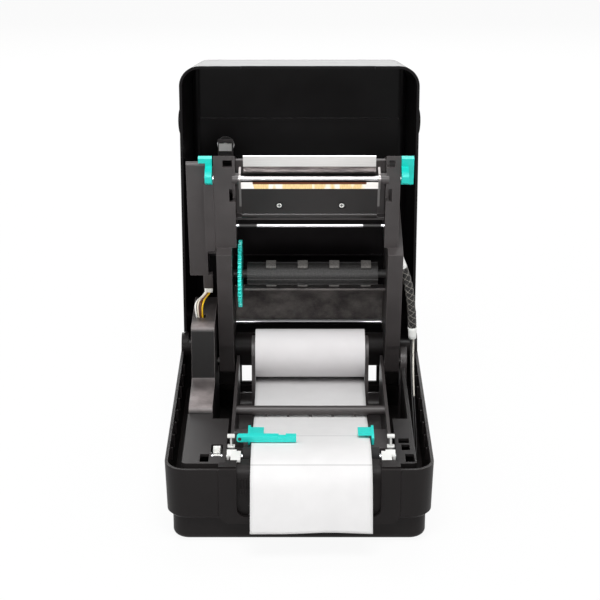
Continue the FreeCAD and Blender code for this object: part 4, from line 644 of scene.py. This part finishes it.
# Nodes whose finish differs from that of their slot, as the photograph shows them
OWN_FINISHES = {
    "label_web": paper("label_web", srgb(238, 237, 237), LABEL_CUTS),
    # The roll's paper is drawn darker than the web's, the same stock: painted shade from the carriage above
    "label_roll": paper("label_roll", srgb(220, 217, 218)),
    "ribbon_guide_rod": sleeved_rod(),
    "ribbon_guide_plate": bent_plate(),
    # The partition: black plastic drawn lighter, as painted light, with painted reflections in its cloudy patches
    "ribbon_partition": painted_reflections("ribbon_partition", srgb(62, 58, 58), srgb(132, 126, 123)),
    "supply_spindle": spindle(),
    "supply_wheel": turquoise("supply_wheel", WHEEL_TURQUOISE_PAINTED_LIGHT, worn=1.15),
    "feed_key": feed_key_finish(),
    # The decks are one plastic in lit and shaded copies: the right deck drawn darker as painted shade
    "left_deck": moulded("left_deck", DECK_BLACK, roughness=0.5, grain=1900.0, depth=0.35),
    "right_deck": moulded(
        "right_deck", srgb(30, 28, 28), roughness=0.5, grain=1900.0, depth=0.35, specular=0.16
    ),
    # The left pillar's black is drawn darker than the case's as painted shade, with a painted sheen on its top and
    # ledge
    "left_pillar": painted_sheen_tops("left_pillar", srgb(18, 16, 16), srgb(150, 141, 140)),
    "head_screws": screw_heads(),
    "head_end_plates": drawn_metal("head_end_plates", srgb(140, 136, 135), roughness=0.35),
    # The hinge pins' steel is drawn dark, as painted shade on their ends
    "hinge_pins": drawn_metal("hinge_pins", srgb(72, 70, 69), roughness=0.4),
}
# Painted light on the sensor arm and guides, painted shade on the latch levers: copies of one turquoise
for node in ("sensor_arm", "left_media_guide", "right_media_guide"):
    OWN_FINISHES[node] = turquoise(node, GUIDE_TURQUOISE_PAINTED_LIGHT, worn=1.15)
for node in ("left_latch_lever", "right_latch_lever"):
    OWN_FINISHES[node] = turquoise(node, LEVER_TURQUOISE_PAINTED_SHADE, worn=1.25)

# Eased edges of the moulded nodes: bevel and joined gap in millimetres, and the least angle in degrees
EASED_SLOTS = {"black_case", "black_frame", "turquoise", "white_plastic", "head_black", "black_lid"}
EASED = 0.35
EASED_FROM = 40.0
JOINED_GAP = 0.01
FACE_WEIGHT = 90
BEVEL_SEGMENTS = 2

# The bevel on the pieces made here, in millimetres
TRIM_EASED = 0.3


def bevelled(obj, width):
    """Puts a small bevel, of a width in millimetres, on an object's edges."""
    bevel = obj.modifiers.new("eased", "BEVEL")
    bevel.width = width * MM
    bevel.segments = BEVEL_SEGMENTS
    return bevel


def ease_edges(obj):
    """Joins the split edges of a node's faces, so that a small bevel can catch the light along them."""
    weld = obj.modifiers.new("joined", "WELD")
    weld.merge_threshold = JOINED_GAP * MM
    bevel = bevelled(obj, EASED)
    bevel.limit_method = "ANGLE"
    bevel.angle_limit = math.radians(EASED_FROM)
    evened = obj.modifiers.new("evened", "WEIGHTED_NORMAL")
    evened.weight = FACE_WEIGHT


def dress_nodes():
    """Gives each carried-over node its own finish, or that of its slot in the record."""
    for part in RECORD["subparts"]:
        node = part["node"]
        slot = part["material_slot"]
        finish = OWN_FINISHES[node] if node in OWN_FINISHES else FINISHES[slot]
        obj = NODES[node]
        obj.data.materials.clear()
        obj.data.materials.append(finish)
        if slot in EASED_SLOTS:
            ease_edges(obj)


# Pieces made here
class Piece:
    """A mesh put together from tubes and blocks, each with its own finish."""

    def __init__(self, name):
        self.name = name
        self.bm = bmesh.new()
        self.materials = []

    def finish_index(self, material):
        if material not in self.materials:
            self.materials.append(material)
        return self.materials.index(material)

    def face(self, corners, material, smooth=True):
        face = self.bm.faces.new(corners)
        face.material_index = self.finish_index(material)
        face.smooth = smooth

    def rings(self, rings, material, smooth=True):
        """Skins a row of rings of points and closes both ends."""
        made = [[self.bm.verts.new(point) for point in ring] for ring in rings]
        count = len(made[0])
        for near, far in zip(made, made[1:]):
            for k in range(count):
                following = (k + 1) % count
                self.face((near[k], near[following], far[following], far[k]), material, smooth)
        self.face(list(reversed(made[0])), material, False)
        self.face(made[-1], material, False)

    def tube(self, path, radius, material, sides):
        """A round tube along a path, whose radius may be a function of the share of its length."""
        sized = radius if callable(radius) else lambda share: radius
        turns = [2 * math.pi * k / sides for k in range(sides)]
        rings = []
        for share, point, side, over in framed(path):
            r = sized(share)
            rings.append([point + side * (r * math.cos(t)) + over * (r * math.sin(t)) for t in turns])
        self.rings(rings, material)

    def block(self, corner, edges, material):
        """A block from one corner along three edge vectors."""
        a, b, c = edges
        base = [corner, corner + a, corner + a + b, corner + b]
        self.rings([base, [point + c for point in base]], material, False)

    def done(self):
        bmesh.ops.recalc_face_normals(self.bm, faces=self.bm.faces)
        mesh = bpy.data.meshes.new(self.name)
        self.bm.to_mesh(mesh)
        self.bm.free()
        for material in self.materials:
            mesh.materials.append(material)
        obj = bpy.data.objects.new(self.name, mesh)
        bpy.context.scene.collection.objects.link(obj)
        return obj


# Smooth routes: points made for each control point, and the order of the curve
ROUTE_STEPS = 8
ROUTE_ORDER = 3


def smooth_route(points):
    """The points along a smooth line whose control points are a route's, in metres."""
    curve = bpy.data.curves.new("route", "CURVE")
    curve.dimensions = "3D"
    curve.resolution_u = ROUTE_STEPS
    line = curve.splines.new("NURBS")
    line.points.add(len(points) - 1)
    for control, place in zip(line.points, points):
        control.co = (*(Vector(place) * MM), 1.0)
    line.order_u = ROUTE_ORDER
    line.use_endpoint_u = True
    holder = bpy.data.objects.new("route", curve)
    mesh = bpy.data.meshes.new_from_object(holder)
    path = [vertex.co.copy() for vertex in mesh.vertices]
    bpy.data.objects.remove(holder)
    bpy.data.curves.remove(curve)
    bpy.data.meshes.remove(mesh)
    return path


def framed(path):
    """For each point of a path: its share of the length, itself and two directions square to the path."""
    lengths = [0.0]
    for near, far in zip(path, path[1:]):
        lengths.append(lengths[-1] + (far - near).length)
    side = ACROSS
    rows = []
    for k, point in enumerate(path):
        ahead = (path[min(k + 1, len(path) - 1)] - path[max(k - 1, 0)]).normalized()
        side = (side - ahead * side.dot(ahead)).normalized()
        rows.append((lengths[k] / lengths[-1], point, side, ahead.cross(side)))
    return rows


def part_of(path, low, high):
    """The stretch of a path between two shares of its length."""
    return [point for share, point, *_ in framed(path) if low <= share <= high]


# Where the gearbox's back and low walls lie, out and up on the carriage, in millimetres
GEARBOX_BACK = 92.0
GEARBOX_LOW = 10.0

# The motor's wires, in millimetres: their bend runs from a place in the row frame to one on the gearbox
WIRE_RADIUS = 0.8
WIRE_SIDES = 10
PILLAR_MOUTH = 121.0
WIRE_COLOURS = {
    "wire_white": srgb(236, 234, 228),
    "wire_cream": srgb(226, 214, 196),
    "wire_brown": srgb(98, 52, 30),
    "wire_yellow": srgb(232, 184, 24),
}


def on_gearbox(x, out, up):
    """A place given from the gearbox's back and low wall, in the row frame, in millimetres."""
    return on_carriage(x, GEARBOX_BACK + out, GEARBOX_LOW + up)


def motor_route(n):
    """The route of one of the ribbon motor's wires, from the pillar's mouth up to the gearbox."""
    x = -93.0 + 1.5 * n
    return [
        (x, 58.6 + 0.7 * n, PILLAR_MOUTH),
        (x - 2.4 + 0.4 * n, 58.0 + 0.8 * n, 133.0),
        (x - 2.2 + 0.9 * n, 59.5 + 0.8 * n, 142.0),
        on_gearbox(-90.0 + 1.75 * n, -24.0, -0.5 + 0.9 * n),
        on_gearbox(-86.8 + 1.75 * n, -20.0, 2.2 + 0.7 * n),
    ]


def motor_wires():
    """The ribbon motor's four wires, from the pillar's mouth to a plug on the gearbox."""
    piece = Piece("motor_wire_set")
    for n, (name, colour) in enumerate(WIRE_COLOURS.items()):
        piece.tube(smooth_route(motor_route(n)), WIRE_RADIUS * MM, wire_finish(name, colour), WIRE_SIDES)
    obj = piece.done()
    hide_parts("motor_wires")
    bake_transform(obj)


# The motor's plug on the gearbox, in millimetres: corner and size of its body and shell, and its two keys
PLUG_BODY = ((-87.9, -20.6, 1.0), (7.6, 5.4, 4.6))
PLUG_SHELL = ((-88.4, -15.4, 0.5), (8.6, 15.4, 5.6))
PLUG_KEYS_X = (-86.8, -82.6)
PLUG_KEY_OUT = -20.0
PLUG_KEY_UP = 0.3
PLUG_KEY_SIZE = (1.2, 4.2, 1.0)


def motor_plug():
    """The white four-way plug that the wires end in, against the gearbox's back wall."""
    piece = Piece("motor_plug")
    white = FINISHES["white_plastic"]

    def bar(corner, size, finish):
        edges = [way * (length * MM) for way, length in zip((ACROSS, FORWARD, UPWARD), size)]
        piece.block(on_gearbox(*corner) * MM, edges, finish)

    bar(*PLUG_BODY, white)
    for x in PLUG_KEYS_X:
        bar((x, PLUG_KEY_OUT, PLUG_KEY_UP), PLUG_KEY_SIZE, white)
    bar(*PLUG_SHELL, FINISHES["black_frame"])
    obj = piece.done()
    bevelled(obj, TRIM_EASED)
    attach(obj, "carriage")


# The head's cable, in millimetres and shares of its length
SLEEVE_RADIUS = 4.2
SLEEVE_CORE = 3.5
SLEEVE_SIDES = 14
SLEEVE_FOOT = (105.3, 75.5, 100.0)
COLLAR_AT = (88.5, 120.0, 9.5)
COLLAR_SHARE = 0.2
COLLAR_TAPER = 0.2
TIE_SHARE = 0.86
TIE_TAPER = 0.5
CLASP_SIDES = 16
LEAD_BARE = 0.42
LEAD_OVERLAP = 0.02
LEAD_COVER = 0.1


def sleeve_route():
    """The route of the print head's sleeved cable, from its collar on the carriage down to the base."""
    collar = on_carriage(*COLLAR_AT)
    return [
        collar,
        (93.0, collar.y - 3, collar.z - 11),
        (98.5, 64.5, 163.0),
        (101.5, 65.8, 148.0),
        (103.5, 70.3, 131.0),
        (105.0, 73.8, 115.0),
        SLEEVE_FOOT,
    ]


def lead_route(n):
    """The route of one lead below the sleeve, into the right deck."""
    shift = 2.2 * n
    return [
        (104.2 + shift, 75.5, 100.2),
        (104.2 + shift, 75.0, 90.0),
        (104.0 + shift, 70.0, 80.0 - 2 * n),
        (103.6 + shift, 55.0, 71.0 - 4 * n),
        (103.2 + shift, 34.0, 65.0 - 5 * n),
        (102.8 + shift, 10.0, 60.0 - 6 * n),
        (102.6 + shift, -14.0, 53.0 - 6 * n),
        (102.4 + shift, -34.0, 42.0 - 5 * n),
        (100.5 + shift / 2, -47.0, 30.0 - 2 * n),
        (91.0, -52.0, 25.0 - 2.4 * n),
    ]


# The braid: strands each way, every how many is light, and its turns and sizes in millimetres
BRAIDED = (0.14, 0.9)
BRAID_STRANDS = 9
BRAID_LIGHT = 3
BRAID_TURNS = 3.4
BRAID_GAUGE = 0.3
BRAID_RADIUS = 3.75
BRAID_LIFT = 0.12


def braid(piece, path, dark, light):
    """Two sets of flat strands wound round the sleeve against each other, crossing over and under."""
    rows = framed(path)
    for way in (-1, 1):
        for k in range(BRAID_STRANDS):
            rings = []
            for share, point, side, over in rows:
                turn = way * 2 * math.pi * (BRAID_TURNS * share + k / BRAID_STRANDS)
                lift = BRAID_LIFT * math.cos(turn * BRAID_STRANDS) * way
                out = side * math.cos(turn) + over * math.sin(turn)
                round_way = over * math.cos(turn) - side * math.sin(turn)
                middle = point + out * ((BRAID_RADIUS + lift) * MM)
                flat = round_way * (2 * BRAID_GAUGE * MM)
                thin = out * (BRAID_GAUGE * MM)
                rings.append([middle - flat, middle + thin, middle + flat, middle - thin])
            piece.rings(rings, light if k % BRAID_LIGHT == 0 else dark)


def head_cable():
    """The head's cable: a braided sleeve with a white collar and tie, and two leads below it."""
    piece = Piece("head_cable_set")
    path = smooth_route(sleeve_route())
    piece.tube(path, SLEEVE_CORE * MM, FINISHES["sleeve"], SLEEVE_SIDES)
    dark = wire_finish("strand_dark", srgb(38, 36, 36))
    light = wire_finish("strand_light", srgb(136, 132, 126))
    braid(piece, part_of(path, *BRAIDED), dark, light)
    white = FINISHES["white_plastic"]
    collar = part_of(path, 0.0, COLLAR_SHARE)
    piece.tube(collar, lambda share: (SLEEVE_RADIUS - COLLAR_TAPER * share) * MM, white, CLASP_SIDES)
    tie = part_of(path, TIE_SHARE, 1.0)
    piece.tube(tie, lambda share: (SLEEVE_RADIUS - TIE_TAPER * share) * MM, white, CLASP_SIDES)
    black = wire_finish("lead_black", srgb(26, 25, 25))
    pale = wire_finish("lead_white", srgb(228, 224, 214))
    for n, finish in enumerate((black, pale)):
        route = smooth_route(lead_route(n))
        bare = part_of(route, 0.0, LEAD_BARE)
        covered = part_of(route, LEAD_BARE - LEAD_OVERLAP, 1.0)
        piece.tube(bare, WIRE_RADIUS * MM, finish, WIRE_SIDES)
        piece.tube(covered, (WIRE_RADIUS + LEAD_COVER) * MM, black, WIRE_SIDES)
    obj = piece.done()
    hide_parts("head_cable")
    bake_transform(obj)


# The label web, in millimetres: its path as depth and height, and the curl of its lower edge
PAPER_THICK = 0.25
SHEET_COLUMNS = 28
WEB_FLAT = ((80.0, 60.75), (3.0, 54.25), (-5.0, 54.25), (-98.3, 72.5))
WEB_HANGING = (
    (-128.0, 72.5), (-141.0, 69.3), (-150.0, 62.0), (-157.5, 48.5), (-164.0, 36.5), (-169.3, 24.4),
)
CURL_FROM = 62.0
CURL_MIDDLE = 0.66
CURL_WIDTH = 0.25
CURL_BACK = 4.5
CURL_UP = 1.6


def curl_at(point):
    """How far down its curling stretch a point of the web lies, from nothing to one."""
    if point.y >= WEB_HANGING[0][0] * MM:
        return 0.0
    return max(0.0, 1.0 - point.z / (CURL_FROM * MM))


def label_sheet():
    """The label web: straight from the roll to the platen, then over the exit, with a curled lower edge."""
    path = [Vector((0.0, y, z)) * MM for y, z in WEB_FLAT]
    path += smooth_route([(0.0, y, z) for y, z in WEB_HANGING])
    piece = Piece("label_sheet")
    left, right = (corner.x for corner in box_of("label_web"))
    rows = []
    for point in path:
        row = []
        for k in range(SHEET_COLUMNS + 1):
            share = k / SHEET_COLUMNS
            hump = math.exp(-((share - CURL_MIDDLE) / CURL_WIDTH) ** 2) * curl_at(point) ** 2
            x = (left + share * (right - left)) * MM
            place = (x, point.y + CURL_BACK * hump * MM, point.z + CURL_UP * hump * MM)
            row.append(piece.bm.verts.new(place))
        rows.append(row)
    for near, far in zip(rows, rows[1:]):
        for k in range(SHEET_COLUMNS):
            piece.face((near[k], far[k], far[k + 1], near[k + 1]), OWN_FINISHES["label_web"])
    obj = piece.done()
    skin = obj.modifiers.new("thickness", "SOLIDIFY")
    skin.thickness = PAPER_THICK * MM
    skin.offset = 0.0
    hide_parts("label_web")
    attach(obj, "base")


# The ribs in the exit chute, in millimetres: their number, the first one's corner, their pitch and size
CHUTE_RIBS = 4
RIB_CORNER = (-49.6, -138.9, 45.5)
RIB_PITCH = 2.2
RIB_SIZE = (0.9, 1.1, 14.0)


def chute_ribs():
    """The short ribs beside the label in the exit chute."""
    piece = Piece("chute_ribs")
    edges = [way * (length * MM) for way, length in zip((ACROSS, BACK, UP), RIB_SIZE)]
    for n in range(CHUTE_RIBS):
        corner = Vector(RIB_CORNER) + ACROSS * (RIB_PITCH * n)
        piece.block(corner * MM, edges, FINISHES["black_case"])
    obj = piece.done()
    bevelled(obj, TRIM_EASED)
    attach(obj, "base")


# Studio, in metres and watts: the floor, how much of its white is only seen, and the light from all round
FLOOR_REACH = 12.0
FLOOR_COLOUR = srgb(244, 244, 244)
FLOOR_SEEN = 0.93
AROUND = 0.25
PURE_WHITE = (1.0, 1.0, 1.0, 1.0)
SPOT_BLEND = 0.6


def lamp(data, place, target, power):
    """Puts a lamp at a place, aimed at a target."""
    data.energy = power
    obj = bpy.data.objects.new(data.name, data)
    obj.location = place
    obj.rotation_euler = (Vector(target) - Vector(place)).to_track_quat("-Z", "Y").to_euler()
    bpy.context.scene.collection.objects.link(obj)


def area(name, place, target, width, height, power):
    """A soft rectangular lamp."""
    data = bpy.data.lights.new(name, "AREA")
    data.shape = "RECTANGLE"
    data.size = width
    data.size_y = height
    lamp(data, place, target, power)


def spot(name, place, target, angle, radius, power):
    """A narrow lamp with a soft rim, of a cone angle in degrees."""
    data = bpy.data.lights.new(name, "SPOT")
    data.spot_size = math.radians(angle)
    data.spot_blend = SPOT_BLEND
    data.shadow_soft_size = radius
    lamp(data, place, target, power)


def floor_finish():
    """A pale floor under a white that only camera, mirror and glass rays see."""
    g = Finish("floor")
    g.set(Base_Color=FLOOR_COLOUR, Roughness=0.9, Specular_IOR_Level=0.1)
    white = g.add("ShaderNodeEmission")
    white.inputs["Color"].default_value = PURE_WHITE
    mix = g.add("ShaderNodeMixShader")
    g.link(g.math("MULTIPLY", g.seen_rays(), FLOOR_SEEN), mix.inputs["Fac"])
    g.link(g.shader.outputs["BSDF"], mix.inputs[1])
    g.link(white.outputs["Emission"], mix.inputs[2])
    g.link(mix.outputs["Shader"], g.output.inputs["Surface"])
    return g.material


def floor():
    mesh = bpy.data.meshes.new("floor")
    signs = ((-1, -1), (1, -1), (1, 1), (-1, 1))
    mesh.from_pydata([(x * FLOOR_REACH, y * FLOOR_REACH, 0.0) for x, y in signs], [], [(0, 1, 2, 3)])
    mesh.materials.append(floor_finish())
    obj = bpy.data.objects.new("floor", mesh)
    bpy.context.scene.collection.objects.link(obj)


def surroundings():
    """White to look at and in mirrors, and a weaker light from all round on the surfaces."""
    world = bpy.data.worlds.new("studio")
    world.use_nodes = True
    bpy.context.scene.world = world
    g = Graph(world.node_tree)
    background = g.tree.nodes["Background"]
    background.inputs["Color"].default_value = PURE_WHITE
    g.link(g.spread(g.seen_rays(), AROUND, 1.0), background.inputs["Strength"])


def lamps():
    """Overhead, side and back light, a low rim light on the lid's lip, and a narrow one on the inside."""
    area("key", (0.0, -0.75, 1.75), (0.0, 0.0, 0.1), width=0.9, height=0.8, power=24.0)
    area("side", (-1.1, -0.9, 1.1), (0.0, 0.0, 0.12), width=0.8, height=0.8, power=3.0)
    area("back", (0.0, 0.95, 1.45), (0.0, 0.0, 0.1), width=1.3, height=0.7, power=9.0)
    area("rim", (0.0, 1.75, 0.58), (0.0, 0.15, 0.34), width=1.6, height=0.36, power=10.0)
    spot("front", (0.0, -1.7, 0.62), (0.0, 0.1, 0.235), angle=9.0, radius=0.15, power=105.0)


camera()
floor()
surroundings()
lamps()
bpy.context.scene.view_settings.view_transform = "Standard"
dress_nodes()
motor_wires()
motor_plug()
head_cable()
label_sheet()
chute_ribs()
